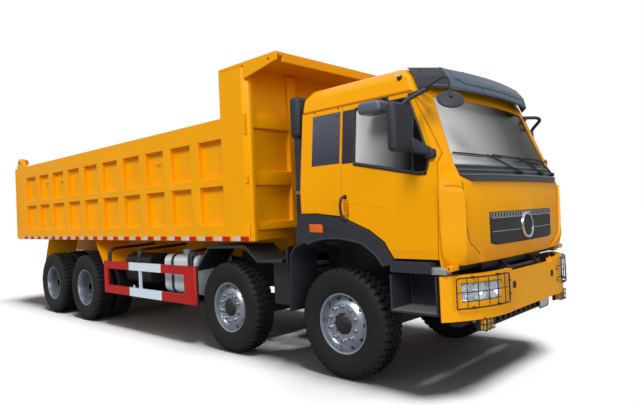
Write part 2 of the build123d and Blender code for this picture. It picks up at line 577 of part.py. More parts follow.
ARM_KNEE = (1290, -1130, 2691)
with BuildPart() as sun_visor:
    bands = []
    for z, half, end_x, corner_x, corner_y, centre_x in VISOR_SECTIONS:
        with BuildSketch(Plane.XY.offset(z)) as band:
            with BuildLine():
                Polyline((corner_x, -corner_y), (end_x, -half), (end_x, VISOR_WALL - half),
                         (corner_x - VISOR_WALL, 14 - corner_y))
                ThreePointArc((corner_x - VISOR_WALL, 14 - corner_y), (centre_x - VISOR_WALL, 0),
                              (corner_x - VISOR_WALL, corner_y - 14))
                Polyline((corner_x - VISOR_WALL, corner_y - 14), (end_x, half - VISOR_WALL),
                         (end_x, half), (corner_x, corner_y))
                ThreePointArc((corner_x, corner_y), (centre_x, 0), (corner_x, -corner_y))
            make_face()
        bands.append(band.sketch)
    loft(bands, ruled=True)
    rod((1042, -986, 2702), ARM_KNEE, 9)
    with Locations(ARM_KNEE):
        Box(26, 26, 26)
    rod(ARM_KNEE, (1290, -1130, 2550), 8)
    rod((1283, -1127, 2500), (1300, -1133, 2560), 100, sides=24)
save(sun_visor, "sun_visor")

FLOOR_OUTLINE = ((-348, 1420), (560, 1420), (650, 1225), (1300, 1225), (1300, 1265), (676, 1265),
                 (586, 1460), (-348, 1460))
CAB_LUG_Y = (300, 338)
with BuildPart() as floor_room:
    plan_loft(CAB_SECTIONS, inset=CAB_WALL + 4)
with BuildPart() as cab_floor:
    side_prism(FLOOR_OUTLINE, (-1140, 1140))
    add(floor_room.part, mode=Mode.INTERSECT)
    for side_name, side in SIDES:
        with BuildSketch(side_plane(max(side * CAB_LUG_Y[0], side * CAB_LUG_Y[1]))):
            Polygon((1120, 1230), (1250, 1230), (1262, 1130), (1345, 1080), (1300, 1025), (1180, 1120),
                    align=None)
            with Locations(CAB_PIVOT):
                Circle(38)
                Circle(25, mode=Mode.SUBTRACT)
        extrude(amount=CAB_LUG_Y[1] - CAB_LUG_Y[0])
save(cab_floor, "cab_floor")

GRILLE_Y = 690
GRILLE_Z = (1290, 1580)
COWL_Z = (1852, 1990)
WIPER_FEET = (-640, 60, 760)
with BuildPart() as trim_outside:
    plan_loft(CAB_SECTIONS, inset=-18)
with BuildPart() as grille_and_cowl:
    block((1200, 1500), (-GRILLE_Y, GRILLE_Y), GRILLE_Z)
    block((1200, 1500), (-1060, 1060), COWL_Z)
    add(trim_outside.part, mode=Mode.INTERSECT)
    add(cab_outside.part, mode=Mode.SUBTRACT)
    for foot_y in WIPER_FEET:
        foot = (front_x(foot_y, 1935) + 12, foot_y, 1935)
        knee = (front_x(foot_y, 1950) + 46, foot_y, 1950)
        elbow = (front_x(foot_y - 260, 2060) + 34, foot_y - 260, 2060)
        rod(foot, knee, 14)
        rod(knee, elbow, 8)
        rod((front_x(foot_y - 460, 2075) + 26, foot_y - 460, 2075),
            (front_x(foot_y + 60, 2040) + 28, foot_y + 60, 2040), 8)
save(grille_and_cowl, "grille_and_cowl")

# Wheel-arch flares, each with its inner liner
ARCH_UNDER = ((630, 1142), (548, 1251), (390, 1353), (110, 1394), (-51, 1390), (-197, 1367),
              (-285, 1331))
SILL_X = (700, 1105)
with BuildPart() as flares:
    side_prism((*ARCH_TOP, (737, 1162), *ARCH_UNDER, (-470, 1340)), (-FLARE_Y[1], -FLARE_Y[0]))
    side_prism((*ARCH_UNDER, (-280, 1341), (-193, 1377), (-50, 1400), (112, 1404), (396, 1362),
                (556, 1258), (640, 1147)), (-FLARE_Y[0], -650))
    block(SILL_X, (-FLARE_Y[1], -1120), (1095, 1190))
    mirror(about=Plane.XZ)
save(flares, "wheel_arch_flares")

with BuildPart() as interior:
    for seat_y in (-620, 620):
        block((-180, 330), (seat_y - 240, seat_y + 240), (1560, 1690))
        block((-80, 230), (seat_y - 180, seat_y + 180), (1460, 1560))
        side_prism(((-180, 1690), (-300, 2330), (-200, 2350), (-60, 1690)),
                   (seat_y - 230, seat_y + 230))
    side_prism(((860, 1700), (1040, 1640), (1180, 1640), (1180, 1900), (1000, 1930), (860, 1860)),
               (-1100, 1100))
    block((1060, 1180), (-1100, 1100), (1266, 1640))
    rod((900, 620, 1800), (700, 620, 1960), 30)
    with BuildSketch(Plane(origin=(700, 620, 1960), z_dir=(-200, 0, 160))):
        Circle(235)
        Circle(205, mode=Mode.SUBTRACT)
        Rectangle(420, 40)
    extrude(amount=28)
save(interior, "cab_interior")

# Mirrors, whose arms end on the doors' skin
for side_name, side in SIDES:
    with BuildPart() as mirror_set:
        block((965, 1060), (side * 1345, side * 1620), (2095, 2500))
        rod((940, side * 1150, 2612), (1120, side * 1275, 2600), 14)
        rod((1120, side * 1275, 2600), (1010, side * 1450, 2490), 14)
        rod((1150, side * 1200, 2085), (1040, side * 1355, 2140), 16)
        block((520, 760), (side * 1230, side * 1410), (2500, 2590))
        rod((640, side * 1140, 2632), (640, side * 1300, 2570), 14)
        add(cab_outside.part, mode=Mode.SUBTRACT)
    save(mirror_set, f"door_mirror_{side_name}")

# Front bumper and its lamps
# Plan points of the outer face, from the end to where it runs straight across.
BUMPER_END = (1180, 1240)
BUMPER_BEND = (1375, 950)
BUMPER_FRONT = (1450, 475)
BUMPER_WALL = 60
BUMPER_Z = (700, 1074)
LAMP_Y = (690, 1195)
LAMP_Z = (840, 1020)


def bumper_band(inner, outer, zs):
    """The wall between two distances inside the bumper's outer face."""
    with BuildSketch(Plane.XY.offset(zs[0])) as band:
        for depth, mode in ((outer, Mode.ADD), (inner, Mode.SUBTRACT)):
            end_x, end_y = BUMPER_END[0] - depth * 0.6, BUMPER_END[1] - depth
            bend_x, bend_y = BUMPER_BEND[0] - depth * 0.85, BUMPER_BEND[1] - depth * 0.55
            front_x, front_y = BUMPER_FRONT[0] - depth, BUMPER_FRONT[1] - depth * 0.05
            with BuildLine():
                ThreePointArc((end_x, -end_y), (bend_x, -bend_y), (front_x, -front_y))
                Line((front_x, -front_y), (front_x, front_y))
                ThreePointArc((front_x, front_y), (bend_x, bend_y), (end_x, end_y))
                Polyline((end_x, end_y), (1000, end_y), (1000, -end_y), (end_x, -end_y))
            make_face(mode=mode)
    extrude(band.sketch, amount=zs[1] - zs[0])


with BuildPart() as bumper:
    bumper_band(BUMPER_WALL, 0, BUMPER_Z)
    block((900, 1170), (-1300, 1300), (600, 1100), mode=Mode.SUBTRACT)
    block((1200, 1500), (-475, 475), (1040, 1100), mode=Mode.SUBTRACT)
    for side_name, side in SIDES:
        block((1100, 1500), (side * LAMP_Y[0], side * LAMP_Y[1]), LAMP_Z, mode=Mode.SUBTRACT)
        rod((1300, side * 445, 927), (1500, side * 445, 927), 24, mode=Mode.SUBTRACT, sides=0)
save(bumper, "front_bumper")

GUARD_Y = (580, 1245)
GUARD_Z = (800, 1060)
GUARD_OUT = (-24, -34)
GUARD_COLUMNS = (645, 765, 885, 1005, 1125, 1215)
GUARD_ROWS = ((812, 885), (895, 965), (975, 1048))
with BuildPart() as guard_gap:
    bumper_band(0, GUARD_OUT[1], GUARD_Z)
with BuildPart() as guards:
    bumper_band(*GUARD_OUT, GUARD_Z)
    block((900, 1205), (-1400, 1400), (600, 1100), mode=Mode.SUBTRACT)
    block((900, 1600), (-GUARD_Y[0], GUARD_Y[0]), (600, 1100), mode=Mode.SUBTRACT)
    for side_name, side in SIDES:
        for column_y in GUARD_COLUMNS:
            for row_z in GUARD_ROWS:
                block((1100, 1600), (side * (column_y - 54), side * (column_y + 54)), row_z,
                      mode=Mode.SUBTRACT)
with BuildPart() as guard_posts:
    for side_name, side in SIDES:
        for post_y in (GUARD_Y[0] + 2, 1178):
            for post_z in (GUARD_Z[0] + 2, GUARD_Z[1] - 12):
                block((1180, 1500), (side * post_y, side * (post_y + 10)), (post_z, post_z + 10))
    add(guard_gap.part, mode=Mode.INTERSECT)
with BuildPart() as front_lamps:
    bumper_band(48, 14, LAMP_Z)
    block((900, 1500), (-LAMP_Y[0], LAMP_Y[0]), (600, 1100), mode=Mode.SUBTRACT)
    block((900, 1170), (-1300, 1300), (600, 1100), mode=Mode.SUBTRACT)
    for side_name, side in SIDES:
        block((1000, 1500), (side * LAMP_Y[1], side * 1400), (600, 1100), mode=Mode.SUBTRACT)
        block((1320, 1400), (side * 770, side * 930), (590, BUMPER_Z[0]))
    add(guards.part)
    add(guard_posts.part)
save(front_lamps, "front_lamps")

# Pieces on the frame's sides
STEP_X = (664, 1142)
with BuildPart() as steps:
    block(STEP_X, (-1235, -905), (739, 765))
    block(STEP_X, (-925, -905), (739, 1070))
    block((STEP_X[0], STEP_X[0] + 20), (-1235, -905), (739, 1070))
    block((STEP_X[1] - 20, STEP_X[1]), (-1235, -905), (739, 1070))
    block((880, 960), (-905, -RAIL_Y), (800, 860))
    mirror(about=Plane.XZ)
save(steps, "cab_steps")

ARCH_2 = ((-2362, 992), (-2073, 1286), (-1384, 1302), (-1164, 1141), (-755, 1155), (-755, 1149),
          (-1168, 1134), (-1388, 1295), (-2068, 1279), (-2354, 986))
with BuildPart() as mudguards:
    side_prism(ARCH_2, (-1195, -760))
    block((-720, -712), (-1150, -750), (600, 1290))
    block((-755, -712), (-1150, -1110), (1100, 1290))
    for bracket_x in (-2330, -1210):
        block((bracket_x - 20, bracket_x + 20), (-800, -RAIL_Y), (1000, 1040))
    block((-2350, -2310), (-800, -760), (1000, 1026))
    block((-1230, -1190), (-800, -760), (1000, 1135))
    block((-740, -712), (-760, -RAIL_Y), (1010, 1050))
    mirror(about=Plane.XZ)
save(mudguards, "mudguards")

GUARD_X = (-4880, -2400)
GUARD_Z_SPAN = (526, 1020)
with BuildPart() as side_guards:
    with BuildSketch(Plane.XY.offset(GUARD_Z_SPAN[0])) as guard_plan:
        Polygon((GUARD_X[0], -1190), (GUARD_X[0], -1225), (GUARD_X[1] - 45, -1225),
                (GUARD_X[1] - 13, -1212), (GUARD_X[1], -1180), (GUARD_X[1], -1150),
                (GUARD_X[1] - 30, -1150), (GUARD_X[1] - 30, -1178), (GUARD_X[1] - 45, -1190),
                align=None)
    extrude(guard_plan.sketch, amount=GUARD_Z_SPAN[1] - GUARD_Z_SPAN[0])
    block((-4770, -2620), (-1300, -1100), (650, 905), mode=Mode.SUBTRACT)
    block((-3790, -3755), (-1225, -1190), (640, 915))
    for hanger_x in (-4700, -3800, -2490):
        rod((hanger_x, -1195, 960), (hanger_x, -RAIL_Y - 2, 1000), 20)
    mirror(about=Plane.XZ)
save(side_guards, "side_guards")

with BuildPart() as fuel_tank:
    with BuildSketch(cross_plane(-3360)):
        with Locations((-775, 875)):
            RectangleRounded(560, 540, 110)
    extrude(amount=820)
    rod((-3000, -900, 1140), (-3000, -900, 1185), 55)
    for strap_x in (-3150, -2670):
        with BuildSketch(cross_plane(strap_x - 30)):
            with Locations((-775, 875)):
                RectangleRounded(576, 556, 116)
        extrude(amount=60)
        block((strap_x - 30, strap_x + 30), (-520, -RAIL_Y), (800, 960))
save(fuel_tank, "fuel_tank")

with BuildPart() as equipment:
    block((-1060, -800), (-1060, -620), (640, 1110))
    block((-1000, -860), (-620, -RAIL_Y), (800, 900))
    block((-3300, -2620), (500, 1060), (620, 1120))
    block((-3100, -2800), (RAIL_Y, 500), (820, 960))
    with BuildSketch(cross_plane(-4600)):
        with Locations((780, 900), (-780, 900)):
            RectangleRounded(440, 420, 90)
    extrude(amount=740)
    for side_name, side in SIDES:
        block((-4330, -4130), (side * 600, side * RAIL_Y), (860, 960))
save(equipment, "side_equipment")

with BuildPart() as snorkel:
    rod((-560, -1045, 1430), (-560, -1045, 2440), 68)
    block((-640, -480), (-1140, -945), (2440, 2870))
    rod((-560, -1045, 1430), (-560, -700, 1250), 68)
    rod((-560, -700, 1250), (-560, -400, 1150), 68)
    block((-600, -520), (-420, -360), (RAIL_Z[1], 1200))
save(snorkel, "air_intake")

with BuildPart() as crossbar:
    block((-7700, -7640), (-1150, 1150), (520, 620))
    for side_name, side in SIDES:
        block((-7700, -7640), (side * 360, side * 428), (620, 760))
        block((-7740, -7700), (side * 700, side * 1050), (525, 615))
save(crossbar, "rear_crossbar")
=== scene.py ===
"""Looks of an eight-by-four tipper truck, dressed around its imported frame.

Sizes are in metres. Every x is counted from the front axle, forward; y runs to the truck's
left and z up. Sculpt.publish() moves a finished mesh into the frame's own coordinates.
"""

import logging
import math
from dataclasses import dataclass, field
from enum import Enum
from typing import Callable, Iterable, Optional, Sequence, Union

import bmesh
import bpy
from bmesh.types import BMEdge, BMesh, BMFace, BMVert
from mathutils import Matrix, Vector
from mathutils.bvhtree import BVHTree

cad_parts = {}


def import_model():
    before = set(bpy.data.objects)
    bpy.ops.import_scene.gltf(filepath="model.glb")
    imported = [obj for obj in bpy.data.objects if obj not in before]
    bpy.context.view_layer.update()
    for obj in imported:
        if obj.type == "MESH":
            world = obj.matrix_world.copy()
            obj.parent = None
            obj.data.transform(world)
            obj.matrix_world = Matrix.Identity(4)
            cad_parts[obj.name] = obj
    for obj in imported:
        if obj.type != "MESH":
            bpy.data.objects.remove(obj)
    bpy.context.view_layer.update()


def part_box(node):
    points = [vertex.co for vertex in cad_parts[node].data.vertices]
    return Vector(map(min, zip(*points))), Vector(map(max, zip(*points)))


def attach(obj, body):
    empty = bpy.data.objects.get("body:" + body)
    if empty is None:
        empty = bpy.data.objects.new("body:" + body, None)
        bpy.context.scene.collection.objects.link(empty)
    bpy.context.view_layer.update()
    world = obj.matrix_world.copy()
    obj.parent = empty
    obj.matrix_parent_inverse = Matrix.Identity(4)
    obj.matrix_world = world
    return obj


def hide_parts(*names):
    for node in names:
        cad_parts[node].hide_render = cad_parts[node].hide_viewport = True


LOG = logging.getLogger("tipper")
SIDEWAYS = (0.0, 1.0, 0.0)
REARWARD = (-1.0, 0.0, 0.0)
Span = tuple[float, float]
Triple = tuple[float, float, float]
Colour = Triple
Point = Union[Sequence[float], Vector]
Path = tuple[Point, ...]


class Side(Enum):
    """A side of the truck, as the sign of its y."""

    RIGHT = -1
    LEFT = 1

    @property
    def word(self) -> str:
        """The side's name as the frame spells it."""
        return self.name.lower()


class Flow:
    """A socket that joins in Python arithmetic by adding Math nodes."""

    def __init__(self, craft: "Craft", socket: bpy.types.NodeSocket) -> None:
        """Wrap a socket of the craft's node tree."""
        self.craft = craft
        self.socket = socket

    def _math(self, operation: str, first: object, second: object) -> "Flow":
        """Join two values by a Math node."""
        return self.craft.node("ShaderNodeMath", {"operation": operation}, {0: first, 1: second})

    def __add__(self, other: object) -> "Flow":
        """Sum."""
        return self._math("ADD", self, other)

    def __rsub__(self, other: object) -> "Flow":
        """Difference from the value on the left."""
        return self._math("SUBTRACT", other, self)

    def __mul__(self, other: object) -> "Flow":
        """Product."""
        return self._math("MULTIPLY", self, other)

    def between(self, low: float, high: float) -> "Flow":
        """A smooth step from nought at low to one at high."""
        return self.craft.node("ShaderNodeMapRange", {"interpolation_type": "SMOOTHSTEP"},
                               {"Value": self, "From Min": low, "From Max": high})


class Craft:
    """The node tree of one material, world or light."""

    def __init__(self, tree: bpy.types.NodeTree) -> None:
        """Start from an empty tree."""
        self.tree = tree
        tree.nodes.clear()

    def node(self, kind: str, settings: Optional[dict] = None, sockets: Optional[dict] = None,
             output: Union[int, str] = 0) -> Flow:
        """Add a node.

        Args:
            kind: Blender's name for the node's type.
            settings: Properties of the node; "stops" lists a ramp's places and colours.
            sockets: Values or flows by the name or number of the input.
            output: Name or number of the output to hand back.

        Returns:
            The chosen output as a flow.
        """
        made = self.tree.nodes.new(kind)
        for key, value in (settings or {}).items():
            if key == "stops":
                self._set_stops(made.color_ramp, value)
            else:
                setattr(made, key, value)
        for key, value in (sockets or {}).items():
            if isinstance(value, Flow):
                self.tree.links.new(value.socket, made.inputs[key])
            else:
                made.inputs[key].default_value = value
        return Flow(self, made.outputs[output] if len(made.outputs) else None)

    @staticmethod
    def _set_stops(ramp: bpy.types.ColorRamp, stops: Sequence[tuple[float, Colour]]) -> None:
        """Give a colour ramp its stops, in rising order.

        Args:
            ramp: The ramp.
            stops: Place and colour of each stop.
        """
        while len(ramp.elements) < len(stops):
            ramp.elements.new(1.0)
        for element, (place, colour) in zip(ramp.elements, stops):
            element.position = place
            element.color = (*colour, 1.0)

    def place(self) -> Flow:
        """Object coordinates."""
        return self.node("ShaderNodeTexCoord", output="Object")

    def axis(self, letter: str) -> Flow:
        """One of the object coordinates, by its letter."""
        return self.node("ShaderNodeSeparateXYZ", {}, {0: self.place()}, output=letter)

    def noise(self, scale: float, detail: float = 2.0, stretch: Point = (1, 1, 1)) -> Flow:
        """Noise on object coordinates, from nought to one.

        Args:
            scale: Size of the pattern: larger is finer.
            detail: Octaves of the noise.
            stretch: Scale along each axis.

        Returns:
            The noise, from nought to one.
        """
        placed = self.node("ShaderNodeMapping", {}, {"Vector": self.place(), "Scale": stretch})
        return self.node("ShaderNodeTexNoise", {}, {"Vector": placed, "Scale": scale,
                                                    "Detail": detail, "Roughness": 0.55})

    def blend(self, share: object, first: object, second: object) -> Flow:
        """Mix two colours by a share from nought to one.

        Args:
            share: Share of the second colour.
            first: First colour or flow.
            second: Second colour or flow.

        Returns:
            The mixed colour.
        """
        colours = [value if isinstance(value, Flow) else (*value, 1.0) for value in (first, second)]
        return self.node("ShaderNodeMix", {"data_type": "RGBA"},
                         {0: share, 6: colours[0], 7: colours[1]}, output=2)

    def bump(self, height: Flow, distance: float, strength: float = 0.6) -> Flow:
        """A bumped normal."""
        return self.node("ShaderNodeBump", {}, {"Height": height, "Distance": distance,
                                                "Strength": strength})

    def principled(self, sockets: dict) -> None:
        """End the tree in a Principled shader with these values or flows."""
        shader = self.node("ShaderNodeBsdfPrincipled", {}, sockets)
        self.node("ShaderNodeOutputMaterial", {}, {"Surface": shader})


def shade(colour: Colour, factor: float) -> Colour:
    """A colour made lighter or darker by a factor."""
    return tuple(min(1.0, part * factor) for part in colour)


@dataclass(frozen=True)
class Finish:
    """A surface with a fine grain and a slow change of tone."""

    name: str
    slot: str
    colour: Colour
    roughness: float = 0.5
    metallic: float = 0.0
    coat: float = 0.0
    tone: float = 0.08
    cloud_scale: float = 1.6
    grain_scale: float = 420.0
    grain_depth: float = 0.0004
    specular: float = 0.5

    ROUGHNESS_SWING = 0.16
    COAT_ROUGHNESS = 0.06

    def material(self) -> bpy.types.Material:
        """The Blender material of this finish, made once.

        Returns:
            The material.
        """
        found = bpy.data.materials.get(self.name)
        if found:
            return found
        made = bpy.data.materials.new(self.name)
        made.use_nodes = True
        craft = Craft(made.node_tree)
        craft.principled(self.sockets(craft))
        return made

    def base(self, craft: Craft, cloud: Flow) -> Flow:
        """The base colour."""
        dark, light = (shade(self.colour, 1 + swing) for swing in (-self.tone, self.tone))
        return craft.blend(cloud, dark, light)

    def uneven(self, wave: Flow) -> Flow:
        """Roughness that swings about its mean with a wave."""
        return wave * self.ROUGHNESS_SWING + (self.roughness - self.ROUGHNESS_SWING / 2)

    def sockets(self, craft: Craft) -> dict:
        """What feeds the Principled shader.

        Args:
            craft: Node tree to build in.

        Returns:
            Values or flows by the name of the shader's input.
        """
        cloud = craft.noise(self.cloud_scale, 3.0)
        grain = craft.noise(self.grain_scale)
        return {"Base Color": self.base(craft, cloud),
                "Roughness": self.uneven(cloud), "Metallic": self.metallic,
                "Coat Weight": self.coat, "Coat Roughness": self.COAT_ROUGHNESS,
                "Specular IOR Level": self.specular, "Normal": craft.bump(grain, self.grain_depth)}


@dataclass(frozen=True)
class GlossPaint(Finish):
    """Sprayed enamel with a faint orange peel, and a little dust low on the truck."""

    dust: Colour = (0.42, 0.30, 0.16)
    dust_share: float = 0.16
    dust_heights: Span = (0.55, 1.25)

    def base(self, craft: Craft, cloud: Flow) -> Flow:
        """The base colour, duller where road dust settles.

        Args:
            craft: Node tree to build in.
            cloud: Slow noise from nought to one.

        Returns:
            The colour.
        """
        low = 1 - craft.axis("Z").between(*self.dust_heights)
        speck = craft.noise(22.0, 4.0).between(0.5, 0.75)
        return craft.blend(low * speck * self.dust_share, super().base(craft, cloud), self.dust)


@dataclass(frozen=True)
class Rubber(Finish):
    """Tyre rubber, greyer where the tread scuffs."""

    def base(self, craft: Craft, cloud: Flow) -> Flow:
        """The base colour with pale scuffs."""
        scuff = craft.noise(60.0, 5.0).between(0.52, 0.8)
        return craft.blend(scuff * 0.5 + cloud * 0.3, self.colour, shade(self.colour, 2.2))


@dataclass(frozen=True)
class BrushedMetal(Finish):
    """Rolled or brushed metal with fine streaks along one axis."""

    streak: Triple = (1.0, 40.0, 40.0)

    ROUGHNESS_SWING = 0.2

    def sockets(self, craft: Craft) -> dict:
        """What feeds the Principled shader.

        Args:
            craft: Node tree to build in.

        Returns:
            Values or flows by the name of the shader's input.
        """
        cloud = craft.noise(self.cloud_scale, 3.0)
        streak = craft.noise(30.0, 3.0, self.streak)
        return {"Base Color": self.base(craft, cloud * 0.5 + streak * 0.5),
                "Roughness": self.uneven(streak),
                "Metallic": self.metallic, "Coat Weight": self.coat,
                "Normal": craft.bump(streak, self.grain_depth)}


@dataclass(frozen=True)
class TintedGlass(Finish):
    """Window glass with a soft pale reflection painted into its base colour, fading along one axis.
    """

    axis: str = "Y"
    span: Span = (-1.0, 1.0)
    stops: tuple[tuple[float, Colour], ...] = ()

    def base(self, craft: Craft, cloud: Flow) -> Flow:
        """The base colour along the fade: a painted reflection, from pale grey to near black.

        Args:
            craft: Node tree to build in.
            cloud: Slow noise from nought to one.

        Returns:
            The colour.
        """
        along = craft.node("ShaderNodeMapRange", {},
                           {"Value": craft.axis(self.axis), "From Min": self.span[0],
                            "From Max": self.span[1]})
        return craft.node("ShaderNodeValToRGB", {"stops": self.stops}, {0: along + cloud * 0.02})


@dataclass(frozen=True)
class ClearLens(Finish):
    """A moulded lens, clear enough to show what is behind it."""

    alpha: float = 0.3
    flute: float = 160.0
    flute_depth: float = 0.0006

    def sockets(self, craft: Craft) -> dict:
        """What feeds the Principled shader.

        Args:
            craft: Node tree to build in.

        Returns:
            Values or flows by the name of the shader's input.
        """
        cloud = craft.noise(self.cloud_scale, 2.0)
        flutes = craft.node("ShaderNodeTexWave", {"bands_direction": "Y"},
                            {"Vector": craft.place(), "Scale": self.flute, "Distortion": 0.0})
        return {"Base Color": self.base(craft, cloud), "Roughness": cloud * 0.04 + self.roughness,
                "Metallic": 0.0, "Coat Weight": self.coat, "Alpha": cloud * 0.06 + self.alpha,
                "Normal": craft.bump(flutes, self.flute_depth)}


@dataclass(frozen=True)
class Chequered(Finish):
    """Moulded tread with crossing raised bars."""

    pitch: float = 0.03
    depth: float = 0.004

    def sockets(self, craft: Craft) -> dict:
        """What feeds the Principled shader.

        Args:
            craft: Node tree to build in.

        Returns:
            Values or flows by the name of the shader's input.
        """
        cloud = craft.noise(self.cloud_scale, 3.0)
        bars = [craft.node("ShaderNodeTexWave", {"bands_direction": "DIAGONAL"},
                           {"Vector": craft.node("ShaderNodeMapping", {},
                                                 {"Vector": craft.place(), "Scale": (1, way, 0)}),
                            "Scale": 0.3 / self.pitch}) for way in (1, -1)]
        return {"Base Color": self.base(craft, cloud), "Roughness": cloud * 0.1 + self.roughness,
                "Metallic": self.metallic, "Normal": craft.bump(bars[0] + bars[1], self.depth)}


# Painted reflection for the glass: pale grey at one end of a pane, fading to near black at the
# other.
PAINTED_REFLECTION_FADE = ((0.0, (0.78, 0.78, 0.77)), (0.12, (0.56, 0.56, 0.55)), (0.4, (0.25, 0.26, 0.26)),
             (0.6, (0.07, 0.072, 0.075)), (0.76, (0.012, 0.012, 0.013)),
             (1.0, (0.003, 0.003, 0.004)))

YELLOW = GlossPaint("yellow_enamel", "yellow_paint", (0.93, 0.385, 0.0), 0.34, coat=0.05, tone=0.03,
                    grain_scale=260.0, grain_depth=0.00012, specular=0.15)
DARK_PLASTIC = Finish("dark_moulded", "dark_plastic", (0.024, 0.027, 0.036), 0.52, specular=0.35,
                      tone=0.12)
VISOR_PLASTIC = Finish("visor_moulded", "visor_plastic", (0.095, 0.130, 0.178), 0.46, specular=0.3,
                       tone=0.1)
BLACK_PLASTIC = Finish("black_moulded", "black_plastic", (0.010, 0.010, 0.012), 0.45, tone=0.15)
FRAME_PAINT = Finish("frame_black", "frame_paint", (0.012, 0.012, 0.013), 0.48, tone=0.2,
                     grain_scale=140.0)
ENGINE_GREY = Finish("engine_grey_paint", "engine_grey", (0.09, 0.095, 0.10), 0.5, tone=0.15)
TANK_METAL = BrushedMetal("tank_sheet", "tank_metal", (0.70, 0.78, 0.84), 0.34, metallic=0.15,
                          tone=0.06, grain_depth=0.0002)
GUARD_RED = Finish("guard_red_paint", "guard_red", (0.42, 0.010, 0.008), 0.34, specular=0.25,
                   tone=0.08)
GUARD_WHITE = Finish("guard_white_paint", "guard_red", (0.66, 0.76, 0.84), 0.36, coat=0.2,
                     tone=0.05)
TAPE_RED = Finish("tape_red", "guard_red", (0.50, 0.010, 0.010), 0.4, specular=0.2, tone=0.1)
TAPE_WHITE = Finish("tape_white", "guard_red", (0.55, 0.55, 0.55), 0.3, coat=0.3, tone=0.08)
RUBBER = Rubber("tyre_black", "tyre_rubber", (0.008, 0.008, 0.009), 0.66, tone=0.2,
                grain_scale=240.0, specular=0.25)
RIM_SILVER = Finish("rim_silver_paint", "rim_silver", (0.33, 0.37, 0.43), 0.3, metallic=0.75,
                    coat=0.15, tone=0.1, cloud_scale=9.0)
CHROME = Finish("bright_chrome", "rim_silver", (0.75, 0.77, 0.80), 0.13, metallic=1.0, tone=0.05)
HOIST_CHROME = Finish("ram_chrome", "hoist_chrome", (0.62, 0.63, 0.65), 0.16, metallic=1.0,
                      tone=0.05)
REFLECTOR = Finish("reflector_silver", "lamp_lens", (0.85, 0.88, 0.92), 0.12, metallic=1.0,
                   tone=0.04, cloud_scale=18.0)
LENS = ClearLens("lamp_clear", "lamp_lens", (0.78, 0.86, 0.92), 0.04, coat=0.5, tone=0.04,
                 alpha=0.22)
AMBER = ClearLens("lamp_amber", "lamp_lens", (0.80, 0.36, 0.02), 0.12, coat=0.4, tone=0.12,
                  alpha=0.92, flute=90.0)
ORANGE = ClearLens("lamp_orange", "lamp_lens", (0.85, 0.13, 0.004), 0.1, coat=0.4, tone=0.1,
                   alpha=0.95, flute=60.0)
TAIL_RED = ClearLens("lamp_red", "lamp_lens", (0.50, 0.01, 0.01), 0.1, coat=0.4, tone=0.1,
                     alpha=0.96, flute=60.0)
# Both panes carry the painted reflection fade as their base colour, not a tint.
WINDSCREEN = TintedGlass("windscreen_glass", "cab_glass", (0.3, 0.3, 0.3), 0.16, specular=0.06,
                         axis="Y", span=(-1.05, 0.98), stops=PAINTED_REFLECTION_FADE)
DOOR_GLASS = TintedGlass("door_glass_tint", "cab_glass", (0.3, 0.3, 0.3), 0.16, specular=0.06,
                         axis="X", span=(3.90, 4.72), stops=PAINTED_REFLECTION_FADE)
SMOKED_GLASS = Finish("smoked_glass", "cab_glass", (0.050, 0.056, 0.080), 0.22, coat=0.3, tone=0.08)
TREAD = Chequered("step_tread", "dark_plastic", (0.20, 0.20, 0.21), 0.42, metallic=0.3)
# Darker yellow that paints shade: in the door handle's recess, which isn't cut, and along the roof
# gutter's fold.
YELLOW_PAINTED_SHADE = Finish("enamel_recess", "yellow_paint", (0.50, 0.17, 0.0), 0.5, specular=0.2,
                      tone=0.05)
SEAL = Finish("window_rubber", "dark_plastic", (0.012, 0.013, 0.016), 0.55, tone=0.15)
SMOOTH_GREY = Finish("mirror_grey", "dark_plastic", (0.085, 0.110, 0.140), 0.34, coat=0.2, tone=0.1)
PLATE_WHITE = Finish("bare_plate", "lamp_lens", (0.60, 0.62, 0.64), 0.4, tone=0.04)
GRILLE_SILVER = BrushedMetal("grille_silver", "dark_plastic", (0.55, 0.58, 0.62), 0.28,
                             metallic=0.8, tone=0.2)
MESH_BLACK = Finish("grille_mesh", "dark_plastic", (0.020, 0.020, 0.022), 0.6, tone=0.3,
                    cloud_scale=60.0, grain_scale=300.0, grain_depth=0.002)
SEAT_CLOTH = Finish("seat_cloth", "dark_plastic", (0.05, 0.05, 0.055), 0.85, tone=0.2,
                    grain_scale=900.0)


def front_axle_x() -> float:
    """Where the front axle stands in the frame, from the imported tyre."""
    low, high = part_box("tyre_1_right")
    return (low.x + high.x) / 2


def pick(geometry: Iterable, kind: type) -> list:
    """The elements of one kind in what an operator returned."""
    return [item for item in geometry if isinstance(item, kind)]


